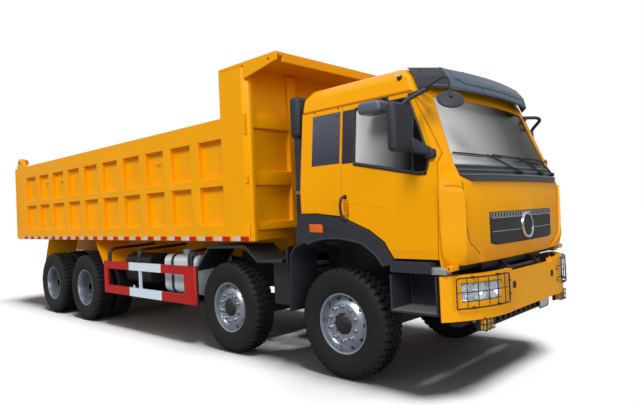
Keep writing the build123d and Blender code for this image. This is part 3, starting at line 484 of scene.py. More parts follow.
class Sculpt:
    """A mesh under construction, shaped with bmesh operators."""

    EDGE_ANGLE = 28.0
    MERGE = 1e-5

    def __init__(self) -> None:
        """Start with nothing."""
        self.bm: BMesh = bmesh.new()
        self.finishes: list[Finish] = []

    def tint(self, faces: Iterable[BMFace], finish: Finish) -> None:
        """Give faces a finish of their own.

        Args:
            faces: Faces of this mesh.
            finish: Finish of its faces.
        """
        if finish not in self.finishes:
            self.finishes.append(finish)
        number = self.finishes.index(finish)
        for face in faces:
            face.material_index = number

    def _tint_new(self, verts: Iterable[BMVert], finish: Finish) -> None:
        """Give every face that touches the vertices a finish."""
        self.tint({face for vert in verts for face in vert.link_faces}, finish)

    def _outward(self, verts: Iterable[BMVert]) -> None:
        """Turn every face that touches the vertices outwards."""
        faces = {face for vert in verts for face in vert.link_faces}
        bmesh.ops.recalc_face_normals(self.bm, faces=list(faces))

    def block(self, xs: Span, ys: Span, zs: Span, finish: Finish, bevel: float = 0.0,
              segments: int = 2) -> None:
        """A box between two values along each axis.

        Args:
            xs, ys, zs: Lowest and highest value along each axis.
            finish: Finish of its faces.
            bevel: Width of the rounded edges, or nought.
            segments: Steps of the rounding.
        """
        size = [abs(high - low) for low, high in (xs, ys, zs)]
        centre = [(low + high) / 2 for low, high in (xs, ys, zs)]
        place = Matrix.Translation(centre) @ Matrix.Diagonal((*size, 1.0))
        verts = bmesh.ops.create_cube(self.bm, size=1.0, matrix=place)["verts"]
        self._rounded(verts, finish, bevel, segments)

    def _rounded(self, verts: list[BMVert], finish: Finish, bevel: float,
                 segments: int) -> list[BMVert]:
        """Round the edges between vertices and give their faces a finish.

        Args:
            verts: The shape's vertices.
            finish: Finish of its faces.
            bevel: Width of the rounded edges, or nought.
            segments: Steps of the rounding.

        Returns:
            The vertices of the rounded shape.
        """
        self._tint_new(verts, finish)
        if bevel <= 0:
            return verts
        edges = {edge for vert in verts for edge in vert.link_edges}
        made = bmesh.ops.bevel(self.bm, geom=[*verts, *edges], offset=bevel, segments=segments,
                               affect="EDGES", profile=0.5, material=-1, clamp_overlap=True)
        return made["verts"]

    def prism(self, outline: Sequence[Point], reach: Point, finish: Finish, bevel: float = 0.0,
              segments: int = 2) -> list[BMVert]:
        """A plate from an outline of points in space.

        Args:
            outline: Corners of one face, in order.
            reach: Vector from that face to the opposite one.
            finish: Finish of its faces.
            bevel: Width of the rounded edges, or nought.
            segments: Steps of the rounding.

        Returns:
            The plate's vertices.
        """
        verts = [self.bm.verts.new(point) for point in outline]
        face = self.bm.faces.new(verts)
        grown = bmesh.ops.extrude_face_region(self.bm, geom=[face], use_keep_orig=True)["geom"]
        far = pick(grown, BMVert)
        bmesh.ops.translate(self.bm, verts=far, vec=Vector(reach))
        everything = verts + far
        self._outward(everything)
        return self._rounded(everything, finish, bevel, segments)

    def tube(self, path: Sequence[Point], radius: float, finish: Finish, sides: int = 10,
             bend: float = 0.0) -> None:
        """A round bar along a path.

        Args:
            path: Points of the centre line.
            radius: Radius of the bar.
            finish: Finish of its faces.
            sides: Facets round the bar.
            bend: Distance from a corner at which its rounding starts, or nought.
        """
        points = rounded_path(path, bend) if bend else [Vector(point) for point in path]
        heading = (points[1] - points[0]).normalized()
        start = Matrix.Translation(points[0]) @ heading.to_track_quat("Z", "Y").to_matrix().to_4x4()
        ring = bmesh.ops.create_circle(self.bm, cap_ends=True, radius=radius, segments=sides,
                                       matrix=start)["verts"]
        made = list(ring)
        edges = list({edge for vert in ring for edge in vert.link_edges})
        for before, here, after in zip(points, points[1:], [*points[2:], None]):
            grown = bmesh.ops.extrude_edge_only(self.bm, edges=edges)["geom"]
            ring, edges = pick(grown, BMVert), pick(grown, BMEdge)
            arriving = (here - before).normalized()
            leaving = (after - here).normalized() if after else arriving
            next_heading = (arriving + leaving).normalized()
            bmesh.ops.rotate(self.bm, cent=before, verts=ring,
                             matrix=heading.rotation_difference(next_heading).to_matrix())
            bmesh.ops.translate(self.bm, verts=ring, vec=here - before)
            heading = next_heading
            made.extend(ring)
        bmesh.ops.contextual_create(self.bm, geom=edges)
        self._outward(made)
        self._tint_new(made, finish)

    def lathe(self, profile: Sequence[Point], centre: Point, axis: Point, finish: Finish,
              steps: int) -> None:
        """A turned shape.

        Args:
            profile: Distance along the axis and radius of each point.
            centre: Point that the distances count from.
            axis: Direction of the axis.
            finish: Finish of its faces.
            steps: Facets of a full turn.
        """
        along = Vector(axis).normalized()
        across = along.orthogonal().normalized()
        origin = Vector(centre)
        verts = [self.bm.verts.new(origin + along * u + across * r) for u, r in profile]
        edges = [self.bm.edges.new(pair) for pair in zip(verts, verts[1:])]
        bmesh.ops.spin(self.bm, geom=[*verts, *edges], cent=origin, axis=along, angle=math.tau,
                       steps=steps, use_merge=True, use_duplicate=False)
        bmesh.ops.remove_doubles(self.bm, verts=flood(verts), dist=self.MERGE)
        linked = flood([vert for vert in verts if vert.is_valid])
        self._outward(linked)
        self._tint_new(linked, finish)

    def disc(self, centre: Point, axis: Point, radius: float, depth: float, finish: Finish,
             sides: int = 16, top: Optional[float] = None, bevel: float = 0.0) -> list[BMVert]:
        """A short round or many-sided post that stands on a surface.

        Args:
            centre: Middle of its foot.
            axis: Direction in which it stands.
            radius: Radius of the foot.
            depth: Height.
            finish: Finish of its faces.
            sides: Number of facets.
            top: Radius of the top where it differs.
            bevel: Rounding of the edges.

        Returns:
            The post's vertices.
        """
        along = Vector(axis).normalized()
        place = (Matrix.Translation(Vector(centre) + along * depth / 2)
                 @ along.to_track_quat("Z", "Y").to_matrix().to_4x4())
        verts = bmesh.ops.create_cone(self.bm, cap_ends=True, segments=sides, radius1=radius,
                                      radius2=radius if top is None else top, depth=depth,
                                      matrix=place)["verts"]
        return self._rounded(verts, finish, bevel, 1)

    def repeat_round(self, verts: Iterable[BMVert], centre: Point, count: int) -> None:
        """Copy a shape evenly round an axle.

        Args:
            verts: The shape's vertices.
            centre: Point on the axle.
            count: Number of shapes in all.
        """
        geometry = with_faces(verts)
        for turn in range(1, count):
            made = bmesh.ops.duplicate(self.bm, geom=geometry)["geom"]
            bmesh.ops.rotate(self.bm, cent=Vector(centre), verts=pick(made, BMVert),
                             matrix=Matrix.Rotation(math.tau * turn / count, 3,
                                                    Vector(SIDEWAYS)))

    def lay(self, skin: "Skin", points: Sequence[Point], heading: Point, radius: float,
            finish: Finish, lift: float = 0.0) -> None:
        """A thin bar that follows a surface.

        Args:
            skin: Surface to follow.
            points: Corners of the path, as seen along the heading.
            heading: Direction in which the path is projected.
            radius: Radius of the bar.
            finish: Finish of its faces.
            lift: How far its middle stands out of the surface.
        """
        self.tube(skin.trace(points, heading, lift), radius, finish, 6)

    def hand(self, side: Side) -> "Sculpt":
        """Turn right-hand shapes into left-hand ones where the side asks for it.

        Args:
            side: Side of the truck.

        Returns:
            This same mesh.
        """
        if side is Side.LEFT:
            bmesh.ops.scale(self.bm, vec=(1, -1, 1), verts=list(self.bm.verts))
            bmesh.ops.reverse_faces(self.bm, faces=list(self.bm.faces))
        return self

    def mirror_left(self) -> None:
        """Copy the right-hand shapes to the left-hand side."""
        made = bmesh.ops.duplicate(self.bm, geom=with_faces(self.bm.verts))["geom"]
        bmesh.ops.scale(self.bm, vec=(1, -1, 1), verts=pick(made, BMVert))
        bmesh.ops.reverse_faces(self.bm, faces=pick(made, BMFace))

    def publish(self, name: str, body: str, smooth: float = 32.0, bevel: float = 0.0,
                replaces: Sequence[str] = (), slot: Optional[str] = None,
                shift: bool = True) -> None:
        """Turn the mesh into a finished object of the truck.

        Args:
            name: Name of the piece.
            body: Body of the frame that it rides on.
            smooth: Angle in degrees below which edges shade smoothly.
            bevel: Width of a live bevel on its sharp edges, or nought.
            replaces: Nodes of the frame that it stands for.
            slot: Material slot, where it isn't the first finish's; not used.
            shift: Whether its x still counts from the front axle.
        """
        if shift:
            bmesh.ops.translate(self.bm, verts=list(self.bm.verts), vec=(front_axle_x(), 0, 0))
        mesh = bpy.data.meshes.new(name)
        self.bm.to_mesh(mesh)
        self.bm.free()
        for finish in self.finishes:
            mesh.materials.append(finish.material())
        mesh.shade_smooth()
        mesh.set_sharp_from_angle(angle=math.radians(smooth))
        made = bpy.data.objects.new(name, mesh)
        bpy.context.scene.collection.objects.link(made)
        if bevel:
            edge = made.modifiers.new("edge", "BEVEL")
            edge.width, edge.segments = bevel, 2
            edge.limit_method, edge.angle_limit = "ANGLE", math.radians(self.EDGE_ANGLE)
            edge.harden_normals = True
        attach(made, body)
        if replaces:
            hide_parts(*replaces)
        LOG.info("%s: %d faces on %s", name, len(mesh.polygons), body)


class Skin:
    """The outer surface of some of the frame's nodes, for laying pieces on it."""

    REACH = 3.0

    def __init__(self, *nodes: str) -> None:
        """Gather the nodes' faces, with x counted from the front axle."""
        self.trees: list[BVHTree] = []
        for node in nodes:
            shell = bmesh.new()
            shell.from_mesh(bpy.data.objects[node].data)
            bmesh.ops.translate(shell, verts=list(shell.verts), vec=(-front_axle_x(), 0, 0))
            self.trees.append(BVHTree.FromBMesh(shell))
            shell.free()

    def meet(self, point: Point, heading: Point) -> Optional[tuple[Vector, Vector]]:
        """Where a line through a point along the heading first meets the surface, and its normal.

        Args:
            point: A point that the line goes through.
            heading: Direction of the line.

        Returns:
            The place and the normal that faces the line, or None where it misses.
        """
        way = Vector(heading).normalized()
        hits = [tree.ray_cast(Vector(point) - way * self.REACH, way) for tree in self.trees]
        found = [hit for hit in hits if hit[0] is not None]
        if not found:
            return None
        nearest = min(found, key=lambda hit: hit[3])
        return nearest[0], (nearest[1] if nearest[1].dot(way) < 0 else -nearest[1])

    def trace(self, points: Sequence[Point], heading: Point, lift: float = 0.0,
              step: float = 0.04) -> list[Vector]:
        """A path laid on the surface.

        Args:
            points: Corners of the path, as seen along the heading.
            heading: Direction in which the path is projected.
            lift: How far the path stands out of the surface.
            step: Distance between its points.

        Returns:
            The points on the surface; those that miss it are left out.
        """
        corners = [Vector(point) for point in points]
        path = [corners[0]]
        for start, end in zip(corners, corners[1:]):
            count = max(1, round((end - start).length / step))
            path.extend(start.lerp(end, number / count) for number in range(1, count + 1))
        hits = [hit for hit in (self.meet(point, heading) for point in path) if hit]
        return [place + normal * lift for place, normal in hits]


def flood(seeds: Iterable[BMVert]) -> list[BMVert]:
    """Every vertex that is joined to the seeds by edges.

    Args:
        seeds: Vertices to start from.

    Returns:
        All that they hang together with.
    """
    found, queue = set(seeds), list(seeds)
    while queue:
        for edge in queue.pop().link_edges:
            for vert in edge.verts:
                if vert not in found:
                    found.add(vert)
                    queue.append(vert)
    return list(found)


def with_faces(verts: Iterable[BMVert]) -> list:
    """Vertices with the edges and faces between them.

    Args:
        verts: Vertices of one or more shapes.

    Returns:
        The vertices, edges and faces.
    """
    chosen = set(verts)
    edges = {edge for vert in chosen for edge in vert.link_edges}
    faces = {face for vert in chosen for face in vert.link_faces}
    return [*chosen, *edges, *faces]


def rounded_path(path: Sequence[Point], bend: float, steps: int = 5,
                 most: float = 0.45) -> list[Vector]:
    """A path whose corners are rounded.

    Args:
        path: Points of the path.
        bend: Distance from a corner at which its rounding starts.
        steps: Points along each rounding.
        most: Largest share of a stretch that one rounding takes up.

    Returns:
        The points of the rounded path.
    """
    points = [Vector(point) for point in path]
    made = [points[0]]
    for before, corner, after in zip(points, points[1:], points[2:]):
        reach = min(bend, (corner - before).length * most, (after - corner).length * most)
        start = corner + (before - corner).normalized() * reach
        end = corner + (after - corner).normalized() * reach
        for step in range(steps + 1):
            t = step / steps
            made.append(start * (1 - t) ** 2 + corner * 2 * t * (1 - t) + end * t ** 2)
    return [*made, points[-1]]


@dataclass
class Dressing:
    """How a node of the frame is finished: softened edges and a material."""

    node: str
    body: str
    finish: Finish
    edge: float = 0.006
    smooth: float = 34.0
    choose: Optional[Callable[[Vector, Vector], Optional[Finish]]] = None
    cuts: tuple[Point, ...] = ()
    drop: Optional[Callable[[Vector], bool]] = None

    MERGE = 2e-5
    FLAT_ANGLE = 0.6

    def build(self) -> None:
        """Finish a merged copy of the node and show it in the node's place."""
        work = Sculpt()
        work.bm.from_mesh(bpy.data.objects[self.node].data)
        bm = work.bm
        bmesh.ops.remove_doubles(bm, verts=list(bm.verts), dist=self.MERGE)
        bmesh.ops.dissolve_limit(bm, angle_limit=math.radians(self.FLAT_ANGLE),
                                 verts=list(bm.verts), edges=list(bm.edges), delimit={"NORMAL"})
        offset = Vector((front_axle_x(), 0, 0))
        for cut in map(Vector, self.cuts):
            bmesh.ops.bisect_plane(bm, geom=[*bm.verts, *bm.edges, *bm.faces],
                                   plane_co=offset + cut, plane_no=cut, dist=1e-5)
        if self.drop:
            gone = [face for face in bm.faces if self.drop(face.calc_center_median() - offset)]
            bmesh.ops.delete(bm, geom=gone, context="FACES")
        work.tint(bm.faces, self.finish)
        if self.choose:
            for face in bm.faces:
                picked = self.choose(face.calc_center_median() - offset, face.normal)
                if picked:
                    work.tint([face], picked)
        work.publish(f"{self.node}_finished", self.body, self.smooth, self.edge, [self.node],
                     shift=False)


@dataclass(frozen=True)
class Lamp:
    """A broad distant lamp, which lights either the floor or everything else.

    Its strength is the light on a surface that faces it, in watts to a square metre. It is
    turned about x, y and z from straight down, and its softness is its width as seen from the
    truck, all in degrees.
    """

    name: str
    strength: float
    turn: Triple
    softness: float
    on_floor: bool = False

    def hang(self, receivers: bpy.types.Collection) -> None:
        """Add the lamp to the scene, for these receivers alone.

        Args:
            receivers: What the lamp lights.
        """
        data = bpy.data.lights.new(self.name, "SUN")
        data.energy, data.angle = self.strength, math.radians(self.softness)
        lamp = bpy.data.objects.new(self.name, data)
        lamp.rotation_euler = [math.radians(value) for value in self.turn]
        lamp.light_linking.receiver_collection = receivers
        bpy.context.scene.collection.objects.link(lamp)


@dataclass
class Studio:
    """Camera, lights, floor and backdrop."""

    camera_place: Triple = (3.5157, -5.1181, 1.6602)
    yaw: float = 43.087
    pitch: float = 0.834
    roll: float = -2.569
    lens: float = 30.38
    sensor: float = 36.0
    floor_half: float = 60.0
    white: Colour = (1.0, 1.0, 1.0)
    floor_grey: Colour = (0.34, 0.34, 0.34)
    sky_grey: Colour = (0.12, 0.124, 0.13)
    sky_fade: tuple[tuple[float, Colour], ...] = ((0.0, (0.10, 0.10, 0.10)),
                                                  (0.12, (0.35, 0.35, 0.36)),
                                                  (0.5, (0.8, 0.8, 0.8)))
    lamps: tuple[Lamp, ...] = (Lamp("side_light", 2.3, (47, 0, 14), 24),
                               Lamp("front_light", 1.15, (76, 0, 68), 40),
                               Lamp("top_light", 0.6, (3, 9, 0), 40),
                               Lamp("floor_light", 3.1, (3, 22, 0), 20, on_floor=True))

    def build(self) -> None:
        """Set up everything around the truck."""
        self._camera()
        self._world()
        floor = self._floor()
        receivers = {True: self._receivers(floor, "INCLUDE"),
                     False: self._receivers(floor, "EXCLUDE")}
        for lamp in self.lamps:
            lamp.hang(receivers[lamp.on_floor])
        bpy.context.scene.view_settings.view_transform = "Standard"

    def _camera(self) -> None:
        """Stand the camera where the photograph was taken from."""
        yaw, pitch, roll = (math.radians(value) for value in (self.yaw, self.pitch, self.roll))
        ahead = Vector((-math.sin(yaw) * math.cos(pitch), math.cos(yaw) * math.cos(pitch),
                        math.sin(pitch)))
        right = Vector((math.cos(yaw), math.sin(yaw), 0))
        up = right.cross(ahead)
        rolled_right = right * math.cos(roll) + up * math.sin(roll)
        rolled_up = up * math.cos(roll) - right * math.sin(roll)
        data = bpy.data.cameras.new("photo_camera")
        data.lens, data.sensor_width = self.lens, self.sensor
        camera = bpy.data.objects.new("photo_camera", data)
        place = Vector(self.camera_place) + Vector((front_axle_x(), 0, 0))
        columns = Matrix((rolled_right, rolled_up, -ahead)).transposed()
        camera.matrix_world = Matrix.Translation(place) @ columns.to_4x4()
        bpy.context.scene.collection.objects.link(camera)
        bpy.context.scene.camera = camera

    def _world(self) -> None:
        """Soft light from all round, white to the camera and a soft gradient in reflections."""
        world = bpy.data.worlds.new("studio")
        bpy.context.scene.world = world
        world.use_nodes = True
        craft = Craft(world.node_tree)
        rise = craft.node("ShaderNodeSeparateXYZ", {},
                          {0: craft.node("ShaderNodeTexCoord", output="Generated")}, output="Z")
        glow = craft.node("ShaderNodeValToRGB", {"stops": self.sky_fade}, {0: rise})
        path = craft.node("ShaderNodeLightPath", output="Is Glossy Ray")
        seen = craft.node("ShaderNodeLightPath", output="Is Camera Ray")
        clear = craft.node("ShaderNodeLightPath", output="Is Transmission Ray")
        lit = craft.blend(path, self.sky_grey, glow)
        colour = craft.blend(seen + clear, lit, self.white)
        background = craft.node("ShaderNodeBackground", {}, {"Color": colour, "Strength": 1.0})
        craft.node("ShaderNodeOutputWorld", {}, {"Surface": background})

    def _floor(self) -> bpy.types.Object:
        """A plain pale floor that keeps the truck's shadow.

        Returns:
            The floor.
        """
        grid = bmesh.new()
        bmesh.ops.create_grid(grid, x_segments=1, y_segments=1, size=self.floor_half)
        mesh = bpy.data.meshes.new("floor")
        grid.to_mesh(mesh)
        grid.free()
        floor = bpy.data.objects.new("floor", mesh)
        bpy.context.scene.collection.objects.link(floor)
        material = bpy.data.materials.new("floor_white")
        material.use_nodes = True
        craft = Craft(material.node_tree)
        seen = craft.node("ShaderNodeLightPath", output="Is Camera Ray")
        colour = craft.blend(seen, self.floor_grey, self.white)
        craft.principled({"Base Color": colour, "Roughness": 0.95, "Specular IOR Level": 0.0})
        mesh.materials.append(material)
        return floor

    @staticmethod
    def _receivers(floor: bpy.types.Object, state: str) -> bpy.types.Collection:
        """What a lamp lights: the floor alone, or all but the floor.

        Args:
            floor: The floor.
            state: INCLUDE for the floor alone, or EXCLUDE.

        Returns:
            A collection that a lamp can be linked to.
        """
        made = bpy.data.collections.new(f"floor_{state.lower()}d")
        made.objects.link(floor)
        made.collection_objects[0].light_linking.link_state = state
        return made


@dataclass
class Tyre:
    """A lugged drive tyre, 1.086 m across and 0.30 m wide."""

    radius: float = 0.543
    groove: float = 0.524
    groove_edge: float = 0.05
    lugs: int = 44
    steps: int = 88
    wall: tuple[tuple[float, float], ...] = ((0.112, 0.298), (0.124, 0.304), (0.130, 0.322),
                                             (0.134, 0.324), (0.134, 0.331), (0.142, 0.352),
                                             (0.149, 0.392), (0.150, 0.425), (0.147, 0.462),
                                             (0.145, 0.464), (0.145, 0.470), (0.139, 0.496),
                                             (0.128, 0.514), (0.100, 0.523))
    lug: tuple[Span, ...] = ((-0.30, 0.040), (0.16, 0.050), (0.30, 0.080), (0.16, 0.100),
                             (0.30, 0.137), (-0.32, 0.137), (-0.46, 0.100), (-0.32, 0.072))
    lug_root: float = 0.012
    shoulder: float = 0.13
    shoulder_top: Span = (0.115, 0.538)
    shoulder_foot: Span = (0.1425, 0.492)
    block: tuple[Span, ...] = ((-0.05, 0.004), (0.36, 0.010), (0.44, 0.034), (0.02, 0.030))
    block_root: float = 0.004
    block_low: float = 0.002

    def build(self, work: Sculpt, centre: Vector, outboard: int) -> None:
        """Add one tyre.

        Args:
            work: Mesh to add it to.
            centre: Middle of the tyre.
            outboard: Sign of y that points away from the truck.
        """
        axis = Vector((0, outboard, 0))
        profile = [*self.wall, (self.groove_edge, self.groove)]
        profile += [(-u, r) for u, r in reversed(profile)]
        work.lathe(profile, centre, axis, RUBBER, self.steps)
        pitch = math.tau * self.radius / self.lugs
        for way in (1, -1):
            for shape in (self._lug, self._block):
                work.repeat_round(shape(work, centre, way, pitch), centre, self.lugs)

    def _lug(self, work: Sculpt, centre: Vector, way: int, pitch: float) -> list[BMVert]:
        """One shoulder lug with a stepped edge, running down the shoulder.

        Args:
            work: Mesh to add it to.
            centre: Middle of the tyre.
            way: Side of the middle groove, as the sign of y.
            pitch: Distance from one lug to the next.

        Returns:
            The lug's vertices.
        """
        low = self.groove - self.lug_root
        foot = [centre + Vector((a * pitch * way, u * way, low)) for a, u in self.lug]
        verts = work.prism(foot, (0, 0, self.radius - low), RUBBER)
        for vert in verts:
            if abs(vert.co.y - centre.y) > self.shoulder:
                high = vert.co.z - centre.z > self.groove
                u, r = self.shoulder_top if high else self.shoulder_foot
                vert.co.y, vert.co.z = centre.y + way * u, centre.z + r
        return verts

    def _block(self, work: Sculpt, centre: Vector, way: int, pitch: float) -> list[BMVert]:
        """One slanted block beside the middle groove, made like a lug.

        Args:
            work: Mesh to add it to.
            centre: Middle of the tyre.
            way: Side of the middle groove.
            pitch: Distance from one block to the next.

        Returns:
            The block's vertices.
        """
        low = self.groove - self.block_root
        foot = [centre + Vector((a * pitch * way, u * way, low)) for a, u in self.block]
        return work.prism(foot, (0, 0, self.radius - self.block_low - low), RUBBER)


@dataclass
class Wheel:
    """A one-piece wheel with ten studs and ten hand holes."""

    studs: int = 10
    stud_circle: float = 0.1675
    hole_radius: float = 0.021
    hole_slope: Span = (0.2, 0.262)
    steer_face: float = 0.111
    twin_face: float = -0.150
    steer_hub: float = 0.034
    twin_hub: float = 0.150
    hub_bolts: int = 8
    steps: int = 80
    barrel: tuple[tuple[float, float], ...] = ((0.112, 0.290), (0.120, 0.299), (0.127, 0.299),
                                               (0.128, 0.292), (0.122, 0.280), (0.098, 0.274))
    steer_disc: tuple[tuple[float, float], ...] = ((0.076, 0.270), (0.062, 0.258), (0.086, 0.228),
                                                   (0.106, 0.206), (0.111, 0.196), (0.111, 0.108),
                                                   (0.109, 0.102), (0.096, 0.100))
    twin_disc: tuple[tuple[float, float], ...] = ((0.060, 0.271), (0.0, 0.268), (-0.052, 0.262),
                                                  (-0.070, 0.244), (-0.100, 0.222), (-0.138, 0.206),
                                                  (-0.150, 0.196), (-0.150, 0.122), (-0.160, 0.118))

    def build(self, work: Sculpt, centre: Vector, outboard: int, twin: bool) -> None:
        """Add the outer face of one wheel.

        Args:
            work: Mesh to add it to.
            centre: Middle of the wheel's tyre.
            outboard: Sign of y that points away from the truck.
            twin: Whether the disc is dished inwards.
        """
        axis = Vector((0, outboard, 0))
        disc = self.twin_disc if twin else self.steer_disc
        work.lathe([*self.barrel, *disc], centre, axis, RIM_SILVER, self.steps)
        face_u = self.twin_face if twin else self.steer_face
        self._studs(work, centre, axis, face_u)
        self._holes(work, centre, axis, disc)
        self._hub(work, centre, axis, face_u, twin)

    def _studs(self, work: Sculpt, centre: Vector, axis: Vector, face_u: float) -> None:
        """Nuts on washers, with the stud's end standing out.

        Args:
            work: Mesh to add it to.
            centre: Middle of the wheel.
            axis: Direction of the axle, away from the truck.
            face_u: Distance of the disc's face from the wheel's middle, along the axis.
        """
        at = centre + axis * face_u + Vector((0, 0, self.stud_circle))
        parts = work.disc(at, axis, 0.0245, 0.004, RIM_SILVER, 14)
        parts += work.disc(at + axis * 0.004, axis, 0.0205, 0.024, RIM_SILVER, 6, bevel=0.002)
        parts += work.disc(at + axis * 0.028, axis, 0.0125, 0.014, ENGINE_GREY, 8, top=0.010)
        work.repeat_round(parts, centre, self.studs)

    def _holes(self, work: Sculpt, centre: Vector, axis: Vector, disc: Sequence[Point]) -> None:
        """Dark hand holes with a rolled lip, on the sloping part of the disc.

        Args:
            work: Mesh to add it to.
            centre: Middle of the wheel.
            axis: Direction of the axle, away from the truck.
            disc: Outline of the disc, by distance along the axis and radius.
        """
        nearest, farthest = self.hole_slope
        low, high = [pair for pair in disc if nearest < pair[1] < farthest][:2]
        u, r = (low[0] + high[0]) / 2, (low[1] + high[1]) / 2
        slope = Vector((0, 0, low[0] - high[0])) + axis * (high[1] - low[1])
        normal = slope if slope.dot(axis) > 0 else -slope
        normal.normalize()
        at = centre + axis * u + Vector((0, 0, r))
        parts = work.disc(at - normal * 0.012, normal, self.hole_radius * 1.14, 0.0135,
                          RIM_SILVER, 14)
        parts += work.disc(at - normal * 0.010, normal, self.hole_radius, 0.0125, BLACK_PLASTIC, 14)
        bmesh.ops.rotate(work.bm, cent=centre, verts=parts,
                         matrix=Matrix.Rotation(math.pi / self.studs, 3, Vector(SIDEWAYS)))
        work.repeat_round(parts, centre, self.studs)

    def _hub(self, work: Sculpt, centre: Vector, axis: Vector, face_u: float, twin: bool) -> None:
        """The hub in the middle, with its cap and small bolts.

        Args:
            work: Mesh to add it to.
            centre: Middle of the wheel.
            axis: Direction of the axle, away from the truck.
            face_u: Distance of the disc's face from the wheel's middle, along the axis.
            twin: Whether the disc is dished inwards.
        """
        tall = self.twin_hub if twin else self.steer_hub
        profile = ((-0.030, 0.119), (0.0, 0.108), (0.012, 0.100), (tall * 0.5, 0.092),
                   (tall * 0.8, 0.078), (tall * 0.9, 0.052), (tall, 0.046), (tall, 0.0))
        work.lathe(profile, centre + axis * (face_u - 0.004), axis, BLACK_PLASTIC, 40)
        at = centre + axis * (face_u + tall * 0.4) + Vector((0, 0, 0.094))
        bolts = work.disc(at, axis, 0.007, tall * 0.4 + 0.006, FRAME_PAINT, 6)
        work.repeat_round(bolts, centre, self.hub_bolts)


@dataclass
class RunningGear:
    """All wheels and tyres."""

    steered: tuple[tuple[str, float], ...] = (("1", 0.0), ("2", -1.80))
    driven: tuple[tuple[str, float], ...] = (("3", -5.66), ("4", -7.01))
    steer_y: float = 1.005
    twin_y: float = 1.075
    spacing: float = 0.340
    inner_barrel: tuple[Span, ...] = ((-0.06, 0.272), (-0.098, 0.274), (-0.122, 0.280),
                                      (-0.128, 0.292), (-0.127, 0.299), (-0.120, 0.299),
                                      (-0.112, 0.290), (-0.084, 0.284), (0.084, 0.284),
                                      (0.112, 0.290))
    drum: tuple[Span, ...] = ((-0.11, 0.09), (-0.11, 0.205), (0.02, 0.205), (0.04, 0.19),
                              (0.04, 0.05))
    drum_steps: int = 40
    tyre: Tyre = field(default_factory=Tyre)
    wheel: Wheel = field(default_factory=Wheel)

    def build(self) -> None:
        """Build both sides."""
        for side in Side:
            for number, x in self.steered:
                self._wheel(f"{number}_{side.word}", x, side, False)
            for number, x in self.driven:
                self._wheel(f"{number}_{side.word}", x, side, True)

    def _wheel(self, name: str, x: float, side: Side, twin: bool) -> None:
        """One wheel, or one pair of twins.

        Args:
            name: Number and side, as in the frame's names.
            x: Place of the axle.
            side: Side of the truck.
            twin: Whether two tyres stand side by side.
        """
        plural = "s" if twin else ""
        middle_y = self.twin_y if twin else self.steer_y
        centre = Vector((x, side.value * middle_y, self.tyre.radius))
        treads, rims = Sculpt(), Sculpt()
        self.tyre.build(treads, centre, side.value)
        self.wheel.build(rims, centre, side.value, twin)
        if twin:
            inner = centre - Vector((0, side.value * self.spacing, 0))
            self.tyre.build(treads, inner, side.value)
            self._behind(rims, inner, side.value)
        self._behind(rims, centre, side.value)
        for work, kind, look in ((treads, "tyre", "lugged"), (rims, "rim", "dressed")):
            node = f"{kind}{plural}_{name}"
            work.publish(f"{node}_{look}", f"wheel_{name}", replaces=[node])

    def _behind(self, work: Sculpt, centre: Vector, outboard: int) -> None:
        """The barrel and drum behind the disc.

        Args:
            work: Mesh to add it to.
            centre: Middle of the wheel.
            outboard: Sign of y that points away from the truck.
        """
        axis = Vector((0, outboard, 0))
        work.lathe(self.inner_barrel, centre, axis, RIM_SILVER, self.wheel.steps)
        work.lathe(self.drum, centre, axis, FRAME_PAINT, self.drum_steps)


@dataclass
class CabShape:
    """The cab's outer surface, for pieces that bridge its openings."""

    heights: tuple[float, ...] = (1.150, 1.290, 1.850, 1.985, 2.655)
    halves: tuple[float, ...] = (1.225, 1.240, 1.240, 1.229, 1.160)
    centres: tuple[float, ...] = (1.335, 1.398, 1.398, 1.330, 1.062)
    corners: tuple[float, ...] = (1.290, 1.322, 1.322, 1.252, 0.992)
    corner_ys: tuple[float, ...] = (1.035, 1.050, 1.050, 1.070, 0.948)

    def _at(self, values: Sequence[float], z: float) -> float:
        """A value between the sections at a height.

        Args:
            values: The value at each of the heights.
            z: Height to find it at.

        Returns:
            The value there, or the last one above all heights.
        """
        for low, high, first, second in zip(self.heights, self.heights[1:], values, values[1:]):
            if z <= high:
                return first + (second - first) * (z - low) / (high - low)
        return values[-1]

    def side(self, x: float, z: float, lift: float = 0.0) -> Vector:
        """A point on the right-hand side."""
        return Vector((x, -self._at(self.halves, z) - lift, z))

    def front(self, y: float, z: float, lift: float = 0.0) -> Vector:
        """A point on the front.

        Args:
            y: Place across the truck.
            z: Height.
            lift: Distance out of the surface.

        Returns:
            The point.
        """
        centre, corner = self._at(self.centres, z), self._at(self.corners, z)
        across = y / self._at(self.corner_ys, z)
        return Vector((centre - (centre - corner) * across ** 2 + lift, y, z))


